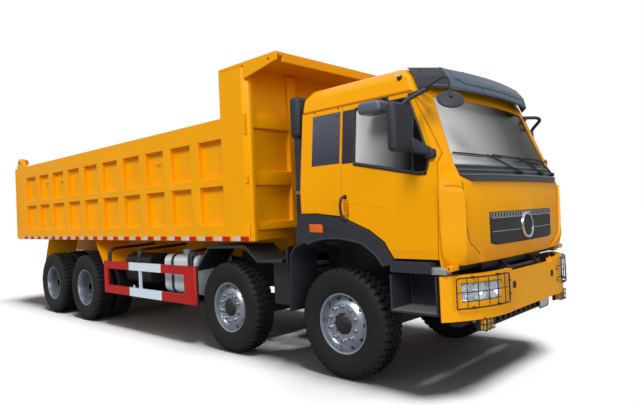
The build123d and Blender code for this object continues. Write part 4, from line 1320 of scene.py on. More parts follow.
@dataclass
class CabSides:
    """Trim of the cab's sides and doors: window panels, seals, creases, handles and lamps."""

    shape: CabShape = field(default_factory=CabShape)
    window: Path = ((0.31, 2.08), (1.03, 1.932), (1.085, 1.935), (1.108, 1.99), (1.112, 2.08),
                    (0.908, 2.60), (0.31, 2.60))
    quarter: tuple[Span, Span] = ((-0.24, 0.125), (2.10, 2.60))
    door_trim: tuple[Span, Span] = ((0.160, 0.305), (2.09, 2.60))
    divider_x: float = 0.955
    divider_z: Span = (1.96, 2.47)
    crease_cab: Path = ((-0.26, 1.762), (0.0, 1.750), (0.140, 1.738))
    crease_door: Path = ((0.165, 1.736), (0.40, 1.706), (0.66, 1.660))
    crease_sunk: float = -0.006
    handle: Path = ((0.20, 0.0, 1.775), (0.188, 0.040, 1.765), (0.178, 0.046, 1.70),
                    (0.182, 0.046, 1.62), (0.205, 0.040, 1.565), (0.215, 0.0, 1.553))
    handle_feet: Path = ((0.200, 1.775), (0.215, 1.553))
    gutter_z: float = 2.652
    gutter_xs: Triple = (-0.385, 0.2, 0.93)
    cap_place: Triple = (0.80, 0.0, 2.80)
    flare_face: float = 1.262
    lamp: Path = ((-0.255, 1.447), (-0.078, 1.442), (-0.086, 1.522), (-0.262, 1.530))
    slot: Path = ((-0.060, 1.447), (0.150, 1.437), (0.140, 1.472), (0.02, 1.492), (-0.066, 1.520))
    lip: Path = ((-0.30, 1.325), (-0.205, 1.362), (-0.05, 1.384), (0.11, 1.388), (0.385, 1.348),
                 (0.543, 1.247), (0.626, 1.142))

    def build(self) -> None:
        """Both sides."""
        for side in Side:
            self._door(side)
            self._cab(side)

    def _sheet(self, work: Sculpt, spans: tuple[Span, Span], finish: Finish, lift: float) -> None:
        """A thin panel on the side between two x and two z.

        Args:
            work: Mesh to add it to.
            spans: Its ends along x, and its lower and upper edge.
            finish: Finish of its faces.
            lift: How far it stands out of the surface.
        """
        (x0, x1), (z0, z1) = spans
        corners = [self.shape.side(x, z, lift) for x, z in ((x0, z0), (x1, z0), (x1, z1), (x0, z1))]
        work.prism(corners, (0, 0.014, 0), finish, 0.003)

    def _screws(self, work: Sculpt, places: Iterable[Point], finish: Finish) -> None:
        """Small screw heads on the side, by x and z."""
        for x, z in places:
            work.disc(self.shape.side(x, z, 0.002), (0, -1, 0), 0.0065, 0.004, finish, 8)

    def _door(self, side: Side) -> None:
        """The door's trim.

        Args:
            side: Side of the truck.
        """
        door = f"door_{side.word}"
        skin = Skin("door_right")
        work = Sculpt()
        self._sheet(work, self.door_trim, DARK_PLASTIC, 0.003)
        rim = [self.shape.side(x, z, 0.001) for x, z in self.window]
        work.tube([*rim, rim[0]], 0.011, SEAL, 8, 0.03)
        low = [self.shape.side(x, z, 0.002) for x, z in self.window[:3]]
        work.tube(low, 0.017, SEAL, 8, 0.03)
        divider = [self.shape.side(self.divider_x, z, -0.006) for z in self.divider_z]
        work.tube(divider, 0.010, SEAL, 6)
        self._crease(work, skin, self.crease_door)
        self._handle(work)
        work.hand(side).publish(f"{door}_trim", door)

    def _crease(self, work: Sculpt, skin: Skin, path: Path) -> None:
        """A pressed line of the side's skin, by x and z."""
        work.lay(skin, [(x, 0, z) for x, z in path], SIDEWAYS, 0.009, YELLOW, self.crease_sunk)

    def _handle(self, work: Sculpt) -> None:
        """The black pull handle with its feet, over the CAD's plain bar, and the painted shade of
        its recess.

        Args:
            work: Mesh to add it to.
        """
        face = self.shape.side(0.19, 1.66).y
        work.tube([(x, face - out, z) for x, out, z in self.handle], 0.016, BLACK_PLASTIC, 10, 0.04)
        for x, z in self.handle_feet:
            work.disc((x, face + 0.002, z), (0, -1, 0), 0.024, 0.010, BLACK_PLASTIC, 16,
                      bevel=0.003)
        # A flat plate of darker yellow paints the shade of the handle's recess.
        work.block((0.205, 0.243), (face - 0.0015, face + 0.01), (1.585, 1.745), YELLOW_PAINTED_SHADE,
                   0.001)

    def _cab(self, side: Side) -> None:
        """Trim of what doesn't open.

        Args:
            side: Side of the truck.
        """
        skin = Skin("cab_sides", "cab_roof")
        work = Sculpt()
        self._sheet(work, self.quarter, SMOKED_GLASS, 0.002)
        (x0, x1), (z0, z1) = self.quarter
        heights = (z0 + 0.05, (z0 + z1) / 2, z1 - 0.04)
        self._screws(work, [(x, z) for x in (x0 + 0.03, x1 - 0.03) for z in heights], SEAL)
        self._screws(work, ((-0.21, 2.635), (0.10, 2.635)), SEAL)
        self._crease(work, skin, self.crease_cab)
        # The gutter's fold is a thin tube of darker yellow: painted shade along the fold.
        gutter = [self.shape.side(x, self.gutter_z) for x in self.gutter_xs]
        work.tube(gutter, 0.006, YELLOW_PAINTED_SHADE, 6)
        place, normal = skin.meet(self.cap_place, SIDEWAYS)
        work.disc(place - normal * 0.01, normal, 0.030, 0.03, BLACK_PLASTIC, 16, top=0.020,
                  bevel=0.004)
        work.disc(place + normal * 0.018, normal, 0.017, 0.010, CHROME, 12, bevel=0.003)
        self._flare(work)
        self._sill(work)
        work.hand(side).publish(f"cab_side_{side.word}_trim", "cab", slot="dark_plastic")

    def _flare(self, work: Sculpt) -> None:
        """Side lamp and slot in the wheel-arch flare.

        Args:
            work: Mesh to add it to.
        """
        lamp, slot, lip = ([(x, -self.flare_face, z) for x, z in path]
                           for path in (self.lamp, self.slot, self.lip))
        work.prism(lamp, (0, -0.008, 0), ORANGE, 0.004)
        work.prism(slot, (0, -0.0015, 0), SEAL)
        work.tube(lip, 0.010, DARK_PLASTIC, 8, 0.05)

    @staticmethod
    def _sill(work: Sculpt) -> None:
        """Sill tip below the door, with the screw of the flare's end.

        Args:
            work: Mesh to add it to.
        """
        work.block((1.095, 1.235), (-1.246, -1.135), (1.088, 1.150), GRILLE_SILVER, 0.008)
        work.block((1.235, 1.290), (-1.236, -1.12), (1.120, 1.165), YELLOW, 0.004)
        work.disc((1.262, -1.236, 1.143), (0, -1, 0), 0.008, 0.004, SEAL, 8)


@dataclass
class CabFront:
    """Seams, cowl, wipers and grille of the cab's front."""

    shape: CabShape = field(default_factory=CabShape)
    seam: Path = ((-1.053, 1.845), (-1.045, 1.60), (-1.005, 1.36), (-0.985, 1.33),
                  (-0.84, 1.235), (-0.80, 1.200), (-0.795, 1.160))
    lip: Path = ((-1.225, 1.822), (-1.15, 1.822), (-1.10, 1.806))
    wipers: tuple[tuple[float, float, float, float], ...] = ((0.0, -0.53, -1.03, -0.28),
                                                            (0.575, 0.086, -0.42, 0.32),
                                                            (0.985, 0.64, 0.29, 0.94))
    wiper_steps: int = 6
    cowl: Triple = (1.850, 1.905, 1.992)
    cowl_bars: tuple[Triple, ...] = ((1.906, 0.014, 0.010), (1.948, 0.008, 0.008),
                                     (1.990, 0.006, 0.010))
    cowl_slots: tuple[Span, ...] = ((-0.97, -0.62), (0.78, 0.97))
    slot_z: Span = (1.918, 1.940)
    band_steps: int = 16
    grille_half: float = 0.690
    teeth: int = 26
    tooth_gap: float = 0.13
    ring_z: float = 1.437
    ring_lean: Triple = (1.0, 0.0, 0.05)
    ring: Path = ((0.0, 0.100), (0.012, 0.102), (0.017, 0.112), (0.012, 0.124), (0.0, 0.127))
    ring_back: Path = ((0.0, 0.102), (0.007, 0.098), (0.010, 0.0))

    def build(self) -> None:
        """Build the front's pieces."""
        self._seams()
        self._face()

    def _band(self, work: Sculpt, half: float, heights: Span, lifts: Span, finish: Finish,
              corner: float = 0.0) -> None:
        """A horizontal strip on the front.

        Args:
            work: Mesh to add it to.
            half: Half its width.
            heights: Heights of its lower and upper edge.
            lifts: How far its back and its face stand out of the cab.
            finish: Finish of its faces.
            corner: How much of each lower end is cut off, rising.
        """
        (low, high), (back, face) = heights, lifts
        ys = [half * (2 * n / self.band_steps - 1) for n in range(self.band_steps + 1)]
        foot = [low] * len(ys)
        if corner:
            foot = [low + corner * max(0.0, (abs(y) - half) / (corner * 2) + 1) ** 2 for y in ys]
        for y0, y1, z0, z1 in zip(ys, ys[1:], foot, foot[1:]):
            corners = ((y0, z0), (y1, z1), (y1, high), (y0, high))
            outline = [self.shape.front(y, z, face) for y, z in corners]
            work.prism(outline, (back - face, 0, 0), finish)

    def _strip(self, work: Sculpt, half: float, z: float, lift: float, radius: float,
               finish: Finish) -> None:
        """A horizontal bar across the front at one height."""
        path = [self.shape.front(half * n / 8, z, lift) for n in range(-8, 9)]
        work.tube(path, radius, finish, 8)

    def _seams(self) -> None:
        """Panel joints, the dark panel below and the corner lips."""
        skin = Skin("cab_front_panel")
        work = Sculpt()
        for way in (1, -1):
            seam, lip = ([(0, y * way, z) for y, z in path] for path in (self.seam, self.lip))
            work.lay(skin, seam, REARWARD, 0.0032, SEAL)
            work.lay(skin, lip, REARWARD, 0.011, YELLOW, -0.002)
        work.block((1.20, 1.262), (-0.66, 0.66), (1.075, 1.160), FRAME_PAINT, 0.012)
        work.block((1.15, 1.225), (-1.00, 1.00), (1.10, 1.155), FRAME_PAINT, 0.006)
        work.publish("cab_front_trim", "cab", slot="frame_paint")

    def _face(self) -> None:
        """Cowl, wipers and grille, in the node's place."""
        work = Sculpt()
        low, middle, high = self.cowl
        self._band(work, 1.055, (low, middle), (-0.02, 0.016), DARK_PLASTIC, 0.05)
        self._band(work, 1.048, (middle, high), (-0.02, 0.004), DARK_PLASTIC)
        for z, lift, radius in self.cowl_bars:
            self._strip(work, 1.045, z, lift, radius, SMOOTH_GREY)
        low, high = self.slot_z
        for start, end in self.cowl_slots:
            corners = ((start, low), (end, low), (end, high), (start, high))
            work.prism([self.shape.front(y, z, 0.006) for y, z in corners], (-0.01, 0, 0), SEAL)
        for foot, elbow, start, end in self.wipers:
            self._wiper(work, foot, elbow, start, end)
        self._grille(work)
        work.publish("grille_and_cowl_shaped", "cab", replaces=["grille_and_cowl"],
                     slot="dark_plastic")

    def _wiper(self, work: Sculpt, foot: float, elbow: float, start: float, end: float) -> None:
        """One wiper: foot, double arm and a nearly level blade.

        Args:
            work: Mesh to add it to.
            foot: Place of its spindle, by y.
            elbow: Where the arm meets the blade.
            start: Right-hand end of the blade.
            end: Left-hand end of the blade.
        """
        base = self.shape.front(foot, 1.935, 0.030)
        work.disc(self.shape.front(foot, 1.935, -0.005), (1, 0, 0.2), 0.020, 0.045, SEAL, 12,
                  bevel=0.004)
        tip = self.shape.front(elbow, 2.095, 0.032)
        for drop in (0.0, 0.014):
            low = base - Vector((0, 0, drop))
            knee = low.lerp(tip, 0.45) + Vector((0.012, 0, -drop / 2))
            work.tube([low, knee, tip], 0.0055, SEAL, 6, 0.05)
        shares = [n / self.wiper_steps for n in range(self.wiper_steps + 1)]
        for drop, radius in ((0.0, 0.007), (0.014, 0.004)):
            blade = [self.shape.front(start + (end - start) * share, 2.098 - 0.016 * share - drop,
                                      0.022 - drop * 0.6) for share in shares]
            work.tube(blade, radius, SEAL, 6)

    def _grille(self, work: Sculpt) -> None:
        """Silver band, two dark bands with bright lines and a bare ring.

        Args:
            work: Mesh to add it to.
        """
        half = self.grille_half
        self._band(work, half, (1.290, 1.580), (-0.02, 0.004), SEAL, 0.02)
        self._band(work, half - 0.012, (1.532, 1.572), (0.0, 0.012), GRILLE_SILVER)
        self._band(work, half - 0.012, (1.412, 1.518), (0.0, 0.010), MESH_BLACK)
        self._band(work, half - 0.014, (1.302, 1.402), (0.0, 0.010), MESH_BLACK, 0.02)
        for z in (1.525, 1.407):
            self._strip(work, half - 0.02, z, 0.010, 0.0035, CHROME)
        for n in range(self.teeth):
            y = half * (2 * (n + 0.5) / self.teeth - 1)
            if abs(y) > self.tooth_gap:
                x = self.shape.front(y, 1.552, 0.012).x
                work.block((x - 0.006, x + 0.002), (y - 0.012, y + 0.012), (1.537, 1.567), SEAL,
                           0.002)
        centre = self.shape.front(0, self.ring_z, 0.012)
        work.lathe(self.ring, centre, self.ring_lean, CHROME, 48)
        work.lathe(self.ring_back, centre, self.ring_lean, SEAL, 32)


@dataclass
class Mirrors:
    """Door mirrors as rounded shells on bent arms, in the nodes' places."""

    folded: float = -26.0
    pivot: Triple = (1.10, -1.20, 0.0)
    bracket: Path = ((1.048, -1.42, 2.235), (1.062, -1.36, 2.105), (1.165, -1.222, 2.062),
                     (1.182, -1.215, 2.120), (1.075, -1.345, 2.215))
    arm: Path = ((0.935, -1.150, 2.625), (1.100, -1.215, 2.622), (1.135, -1.290, 2.600),
                 (1.060, -1.420, 2.525), (1.030, -1.470, 2.470))
    kerb_arms: Span = (0.615, 0.665)
    kerb_arm: Path = ((-1.155, 2.628), (-1.225, 2.632), (-1.300, 2.560))

    def build(self) -> None:
        """Both doors."""
        for side in Side:
            work = Sculpt()
            self._main(work)
            if side is Side.LEFT:
                bmesh.ops.rotate(work.bm, verts=list(work.bm.verts), cent=self.pivot,
                                 matrix=Matrix.Rotation(math.radians(self.folded), 3, "Z"))
            self._kerb(work)
            name = f"door_mirror_{side.word}"
            work.hand(side).publish(f"{name}_shaped", f"door_{side.word}", 40, replaces=[name],
                                    slot="dark_plastic")

    def _main(self, work: Sculpt) -> None:
        """The tall mirror, its lower bracket and upper arm.

        Args:
            work: Mesh to add it to.
        """
        work.block((0.972, 1.062), (-1.618, -1.335), (2.100, 2.502), DARK_PLASTIC, 0.040, 5)
        work.block((0.970, 0.976), (-1.580, -1.372), (2.140, 2.465), CHROME)
        work.prism(self.bracket, (-0.050, 0.0, 0.0), DARK_PLASTIC, 0.012, 3)
        work.block((1.095, 1.180), (-1.262, -1.195), (2.045, 2.128), DARK_PLASTIC, 0.018, 3)
        work.tube(self.arm, 0.019, DARK_PLASTIC, 12, 0.07)
        work.block((0.90, 0.975), (-1.175, -1.135), (2.585, 2.640), DARK_PLASTIC, 0.012, 2)

    def _kerb(self, work: Sculpt) -> None:
        """The wide-angle mirror over the window, on two short arms.

        Args:
            work: Mesh to add it to.
        """
        work.block((0.525, 0.765), (-1.412, -1.232), (2.478, 2.588), SMOOTH_GREY, 0.034, 5)
        for x in self.kerb_arms:
            work.tube([(x, y, z) for y, z in self.kerb_arm], 0.011, SEAL, 8, 0.05)
        work.block((0.585, 0.695), (-1.180, -1.148), (2.600, 2.648), SEAL, 0.008)


@dataclass
class FrontLamps:
    """Head lamps behind wire guards, and fog lamps in cages, in the node's place."""

    ends: Span = (-1.105, -0.698)
    opening: float = -1.196
    heights: Span = (0.852, 1.008)
    frame: Span = (0.836, 1.024)
    dividers: Span = (-1.022, -0.863)
    sheet: float = 0.006
    cups: tuple[Triple, ...] = ((-0.786, 0.930, 0.070), (-0.940, 0.930, 0.070),
                                (-1.063, 0.966, 0.028), (-1.063, 0.894, 0.028))
    guard: tuple[Span, Span] = ((-1.150, -0.622), (0.806, 1.056))
    wires: tuple[float, ...] = (-1.075, -0.985, -0.885, -0.785, -0.695)
    wire_radius: float = 0.0038
    guard_lift: float = 0.034
    guard_steps: int = 8
    prong_zs: Span = (0.872, 0.985)
    bung: Span = (-0.445, 0.927)
    bung_solid: float = 0.86
    fog_side: float = -0.927
    cage: float = 0.0035
    skin: Optional[Skin] = None

    def build(self) -> None:
        """Both sides as one piece."""
        work = Sculpt()
        self.skin = Skin("front_bumper")
        self._lamp(work)
        self._guard(work)
        self._fog(work)
        work.mirror_left()
        work.publish("front_lamps_dressed", "root", replaces=["front_lamps"], slot="lamp_lens")

    def _out(self, y: float, z: float, lift: float, solid: float = 1.052) -> Vector:
        """A point at a distance out of the bumper's face.

        Args:
            y: Place across the truck.
            z: Height.
            lift: Distance out of the face.
            solid: Height at which the bumper is whole, and its face is followed.

        Returns:
            The point.
        """
        place, normal = self.skin.meet((0, y, solid), REARWARD)
        flat = Vector((normal.x, normal.y, 0)).normalized()
        return Vector((place.x, place.y, z)) + flat * lift

    def _wall(self, work: Sculpt, ys: Span, zs: Span, lifts: Span, finish: Finish,
              steps: int = 6) -> None:
        """A curved plate parallel to the bumper's face.

        Args:
            work: Mesh to add it to.
            ys: Its ends across the truck.
            zs: Its lower and upper edge.
            lifts: How far its back and its face stand out of the bumper's face.
            finish: Finish of its faces.
            steps: Number of its flat parts.
        """
        (low, high), (back, face) = zs, lifts
        cuts = [ys[0] + (ys[1] - ys[0]) * n / steps for n in range(steps + 1)]
        for y0, y1 in zip(cuts, cuts[1:]):
            corners = ((y0, back), (y1, back), (y1, face), (y0, face))
            outline = [self._out(y, low, lift) for y, lift in corners]
            work.prism(outline, (0, 0, high - low), finish)

    def _lamp(self, work: Sculpt) -> None:
        """Silver housing, reflector cups with bulbs, and the clear cover.

        Args:
            work: Mesh to add it to.
        """
        low, high = self.heights
        outer, inner = self.ends
        self._wall(work, self.ends, self.heights, (-0.050, -0.044), REFLECTOR)
        for z in (low, high - self.sheet):
            self._wall(work, self.ends, (z, z + self.sheet), (-0.048, -0.016), REFLECTOR)
        for zs in ((self.frame[0], low), (high, self.frame[1])):
            self._wall(work, self.ends, zs, (-0.014, -0.001), YELLOW)
        self._wall(work, (self.opening, outer), self.frame, (-0.014, -0.001), YELLOW)
        for y in (outer, *self.dividers, inner - self.sheet):
            self._wall(work, (y, y + self.sheet), self.heights, (-0.048, -0.018), REFLECTOR)
        for y, z, radius in self.cups:
            back, face = self._out(y, z, -0.046), self._out(y, z, -0.016)
            axis = face - back
            bowl = ((0.0, 0.012), (0.004, radius * 0.55), (0.014, radius * 0.85), (0.026, radius),
                    (0.028, radius * 1.06), (0.020, radius * 1.06))
            work.lathe(bowl, back, axis, REFLECTOR, 24)
            work.disc(back, axis, radius * 0.22, 0.024, CHROME, 12, top=radius * 0.14, bevel=0.002)
        self._wall(work, self.ends, self.heights, (-0.012, -0.007), LENS)
        for z in (low - 0.002, high - 0.006):
            self._wall(work, self.ends, (z, z + 0.008), (-0.014, -0.003), SEAL)

    def _guard(self, work: Sculpt) -> None:
        """The wire guard with its cross wires, clips and prongs.

        Args:
            work: Mesh to add it to.
        """
        (outer, inner), (low, high) = self.guard
        lift, wire = self.guard_lift, self.wire_radius
        step = (inner - outer) / self.guard_steps
        ys = [outer + step * n for n in range(self.guard_steps + 1)]
        loop = [self._out(y, low, lift) for y in ys]
        loop += [self._out(y, high, lift) for y in reversed(ys)]
        work.tube([*loop, loop[0], loop[0].lerp(loop[1], 0.3)], 0.0062, BLACK_PLASTIC, 6, 0.045)
        for y in self.wires:
            work.tube([self._out(y, low, lift), self._out(y, high, lift)], wire, BLACK_PLASTIC, 6)
        middle = (low + high) / 2 + 0.008
        work.tube([self._out(y, middle, lift + 0.004) for y in ys], wire, BLACK_PLASTIC, 6)
        at = self._out(*self.bung, 0.0, self.bung_solid)
        work.disc(at - Vector((0.02, 0, 0)), (1, 0, 0), 0.034, 0.024, SEAL, 20)
        for y in (self.wires[1] - 0.03, self.wires[3] + 0.03):
            for z in (low, high):
                work.tube([self._out(y, z, 0.0), self._out(y, z, lift)], 0.010, BLACK_PLASTIC, 8)
        for z in self.prong_zs:
            work.tube([self._out(inner, z, lift), self._out(inner + 0.040, z, lift),
                       self._out(inner + 0.058, z, 0.002)], 0.0045, BLACK_PLASTIC, 6, 0.012)
            work.disc(self._out(inner + 0.058, z - 0.03, 0.0), (1, 0, 0), 0.010, 0.008,
                      BLACK_PLASTIC, 8)

    def _fog(self, work: Sculpt) -> None:
        """Amber fog lamp in a dark case with wires across its face.

        Args:
            work: Mesh to add it to.
        """
        work.block((1.318, 1.352), (-0.932, -0.768), (0.590, 0.712), BLACK_PLASTIC, 0.010)
        work.block((1.346, 1.402), (-0.922, -0.778), (0.600, 0.702), AMBER, 0.010)
        for y in (-0.915, -0.850, -0.785):
            hoop = ((1.390, 0.594), (1.412, 0.602), (1.412, 0.702), (1.390, 0.710))
            work.tube([(x, y, z) for x, z in hoop], self.cage, SEAL, 6, 0.01)
        wires = [((1.412, -0.925, z), (1.412, -0.775, z)) for z in (0.612, 0.652, 0.692)]
        wires += [((x, self.fog_side, 0.598), (x, self.fog_side, 0.706))
                  for x in (1.352, 1.380, 1.408)]
        wires += [((1.345, self.fog_side, z), (1.412, self.fog_side, z))
                  for z in (0.602, 0.652, 0.702)]
        for wire in wires:
            work.tube(wire, self.cage, SEAL, 6)
        work.block((1.335, 1.365), (-0.880, -0.820), (0.705, 0.740), BLACK_PLASTIC, 0.004)


@dataclass
class BedTrim:
    """Marking tape, hooks and pins of the load bed."""

    side_y: float = 1.250
    tape_z: Span = (1.352, 1.404)
    tape_start: float = -1.228
    tape_end: float = -8.58
    tape_pitch: float = 0.345
    tape_piece: float = 0.148
    hook_z: float = 2.40
    hook_xs: Triple = (-7.16, -6.50, -3.18)
    pin: Span = (-8.40, 2.900)
    fold: Path = ((-1.262, -1.2515), (-1.182, -1.203), (-1.182, -1.150), (-1.262, -1.150))
    fold_z: Span = (1.346, 3.308)
    rail_y: float = -1.184
    rail_ends: Span = (-8.10, -1.68)
    rail_zs: tuple[float, ...] = (1.545, 1.995, 2.105, 2.550)

    def build(self) -> None:
        """Build both sides as one piece."""
        work = Sculpt()
        self._tape(work)
        for x in self.hook_xs:
            bent = ((-0.035, -1.18), (-0.035, -1.215), (0.035, -1.215), (0.035, -1.18))
            work.tube([(x + along, y, self.hook_z) for along, y in bent], 0.009, YELLOW, 8, 0.02)
        x, z = self.pin
        work.disc((x, -self.side_y + 0.004, z), (0, -1, 0), 0.045, 0.012, YELLOW, 20, bevel=0.004)
        work.disc((x, -self.side_y - 0.008, z), (0, -1, 0), 0.020, 0.014, FRAME_PAINT, 6)
        work.disc((-0.78, -1.247, 3.305), (0, -1, 0), 0.014, 0.005, FRAME_PAINT, 14)
        self._post_plates(work)
        low, high = self.fold_z
        work.prism([(x, y, low) for x, y in self.fold], (0, 0, high - low), YELLOW, 0.006)
        work.block((-8.46, -8.30), (-1.2515, -1.16), (2.835, 2.960), YELLOW, 0.012)
        work.mirror_left()
        work.publish("bed_trim", "bed", slot="yellow_paint")

    def _tape(self, work: Sculpt) -> None:
        """White and red pieces along the foot of the side, with a gap after each pair.

        Args:
            work: Mesh to add it to.
        """
        x = self.tape_start
        ys = (-self.side_y - 0.0025, -self.side_y + 0.004)
        while x - 2 * self.tape_piece > self.tape_end:
            for finish, start in ((TAPE_RED, x), (TAPE_WHITE, x - self.tape_piece)):
                work.block((start - self.tape_piece, start), ys, self.tape_z, finish)
            x -= self.tape_pitch

    def _post_plates(self, work: Sculpt) -> None:
        """Folded edges where the panels meet the rails, between the ribs."""
        for z in self.rail_zs:
            work.tube([(x, self.rail_y, z) for x in self.rail_ends], 0.010, YELLOW, 6)


@dataclass
class ChassisTrim:
    """Hangers, tank cap, mudguard lips and other small pieces on the frame."""

    hanger_xs: Triple = (-4.72, -3.80, -2.49)
    hanger: Path = ((-1.203, 0.93), (-1.200, 1.205), (-0.435, 1.235))
    arch: Path = ((-2.362, 0.992), (-2.073, 1.286), (-1.384, 1.302), (-1.164, 1.141),
                  (-0.755, 1.155))
    arch_y: float = -1.192
    arch_deep: float = 0.035
    splash_y: float = -1.158
    splash: Path = ((-0.712, 0.600), (-0.700, 0.900), (-0.676, 1.200), (-0.600, 1.300),
                    (-0.500, 1.330), (-0.500, 1.312), (-0.590, 1.282), (-0.660, 1.190),
                    (-0.684, 0.900), (-0.696, 0.600))
    beam_bars: int = 13
    beam_start: float = -0.690
    beam_pitch: float = 0.115
    plate_rod: Path = ((0.52, 0.66), (0.54, 0.540), (0.77, 0.540), (0.79, 0.66))
    tank_cap: Span = (-3.00, -0.90)
    tank_straps: Span = (-3.15, -2.67)
    tail_cells: tuple[tuple[float, Finish], ...] = ((0.755, AMBER), (0.875, TAIL_RED),
                                                    (0.995, TAIL_RED))

    def build(self) -> None:
        """Build what is alike on both sides, then what is on one side."""
        work = Sculpt()
        for x in self.hanger_xs:
            for offset in (-0.028, 0.028):
                path = [(x + offset, y, z) for y, z in self.hanger]
                work.tube(path, 0.019, BLACK_PLASTIC, 10, 0.09)
            work.block((x - 0.06, x + 0.06), (-1.196, -1.182), (0.915, 1.005), BLACK_PLASTIC, 0.004)
        lip = [(x, self.arch_y, z) for x, z in self.arch]
        lip += [(x, self.arch_y, z - self.arch_deep) for x, z in reversed(self.arch)]
        work.prism(lip, (0, -0.010, 0), DARK_PLASTIC, 0.003)
        splash_guard = [(x, self.splash_y, z) for x, z in self.splash]
        work.prism(splash_guard, (0, 0.40, 0), DARK_PLASTIC, 0.004)
        work.block((-0.660, 0.900), (-0.560, -0.545), (1.000, 1.392), BLACK_PLASTIC)
        work.block((-2.30, -1.20), (-0.500, -0.488), (0.95, 1.16), BLACK_PLASTIC)
        work.mirror_left()
        self._tank(work)
        self._under_bumper(work)
        self._battery(work)
        self._tail(work)
        work.publish("chassis_trim", "root", slot="frame_paint")

    def _under_bumper(self, work: Sculpt) -> None:
        """The pierced beam under the bumper, and the bare plate in its rod frame.

        Args:
            work: Mesh to add it to.
        """
        for low in (0.556, 0.622):
            work.block((1.180, 1.262), (-0.700, 0.700), (low, low + 0.018), BLACK_PLASTIC)
        for n in range(self.beam_bars):
            y = self.beam_start + n * self.beam_pitch
            work.block((1.184, 1.258), (y - 0.028, y + 0.028), (0.560, 0.640), BLACK_PLASTIC, 0.004)
        work.block((1.270, 1.276), (0.560, 0.750), (0.548, 0.632), PLATE_WHITE)
        work.tube([(1.273, y, z) for y, z in self.plate_rod], 0.006, SEAL, 8, 0.02)

    def _tank(self, work: Sculpt) -> None:
        """Filler cap and strap bolts of the fuel tank.

        Args:
            work: Mesh to add it to.
        """
        work.disc((*self.tank_cap, 1.178), (0, 0, 1), 0.064, 0.030, TANK_METAL, 20, bevel=0.008)
        work.disc((*self.tank_cap, 1.206), (0, 0, 1), 0.026, 0.008, TANK_METAL, 12, bevel=0.002)
        for x in self.tank_straps:
            work.block((x - 0.016, x + 0.016), (-1.078, -1.062), (0.86, 0.93), CHROME, 0.004)

    @staticmethod
    def _battery(work: Sculpt) -> None:
        """Lid, latches and ribs of the battery box.

        Args:
            work: Mesh to add it to.
        """
        work.block((-1.068, -0.792), (-1.068, -0.612), (1.085, 1.118), BLACK_PLASTIC, 0.008)
        for z in (0.74, 0.86, 0.98):
            work.block((-1.05, -0.81), (-1.066, -1.056), (z, z + 0.02), BLACK_PLASTIC, 0.003)
        for y in (-0.95, -0.73):
            work.block((-1.070, -1.058), (y - 0.02, y + 0.02), (1.03, 1.10), CHROME, 0.003)

    def _tail(self, work: Sculpt) -> None:
        """Tail lamp cells on the rear bar.

        Args:
            work: Mesh to add it to.
        """
        for way in (1, -1):
            for y, finish in self.tail_cells:
                work.block((-7.752, -7.738), (way * y - 0.052, way * y + 0.052), (0.532, 0.608),
                           finish, 0.006)


@dataclass
class Intake:
    """The air intake: a meshed head, a pipe and a ribbed hose, in the node's place."""

    x: float = -0.560
    pipe_y: float = -1.045
    pipe_radius: float = 0.062
    ribs: int = 12
    rib_pitch: float = 0.032
    hose_top: float = 1.84
    bands: Span = (1.86, 1.455)

    def build(self) -> None:
        """Build the piece."""
        work = Sculpt()
        work.block((-0.622, -0.480), (-1.140, -0.945), (2.430, 2.868), DARK_PLASTIC, 0.050, 5)
        work.block((-0.627, -0.475), (-1.118, -0.967), (2.490, 2.800), MESH_BLACK, 0.02, 2)
        self._pipe(work, ((self.pipe_y, 2.46), (self.pipe_y, 1.86)), self.pipe_radius, 24)
        tops = [self.hose_top - n * self.rib_pitch for n in range(self.ribs)]
        rib = ((0.0, 0.060), (0.010, 0.069), (0.020, 0.069), (0.030, 0.060))
        work.lathe([(top - down, radius) for top in tops for down, radius in rib],
                   (self.x, self.pipe_y, 0), (0, 0, 1), SEAL, 24)
        self._pipe(work, ((self.pipe_y, 1.48), (self.pipe_y, 1.36), (-0.70, 1.25), (-0.40, 1.15)),
                   self.pipe_radius, 20, bend=0.12)
        for z in self.bands:
            self._pipe(work, ((self.pipe_y, z - 0.012), (self.pipe_y, z + 0.012)), 0.068, 24,
                       CHROME)
        work.block((-0.600, -0.520), (-0.420, -0.362), (1.060, 1.200), FRAME_PAINT, 0.006)
        work.publish("air_intake_shaped", "root", replaces=["air_intake"], slot="dark_plastic")

    def _pipe(self, work: Sculpt, path: Path, radius: float, sides: int,
              finish: Finish = DARK_PLASTIC, bend: float = 0.0) -> None:
        """A tube at the intake's own x.

        Args:
            work: Mesh to add it to.
            path: Its centre line, by y and z.
            radius: Its radius.
            sides: Facets round it.
            finish: Finish of its faces.
            bend: Distance from a corner at which its rounding starts, or nought.
        """
        work.tube([(self.x, y, z) for y, z in path], radius, finish, sides, bend)


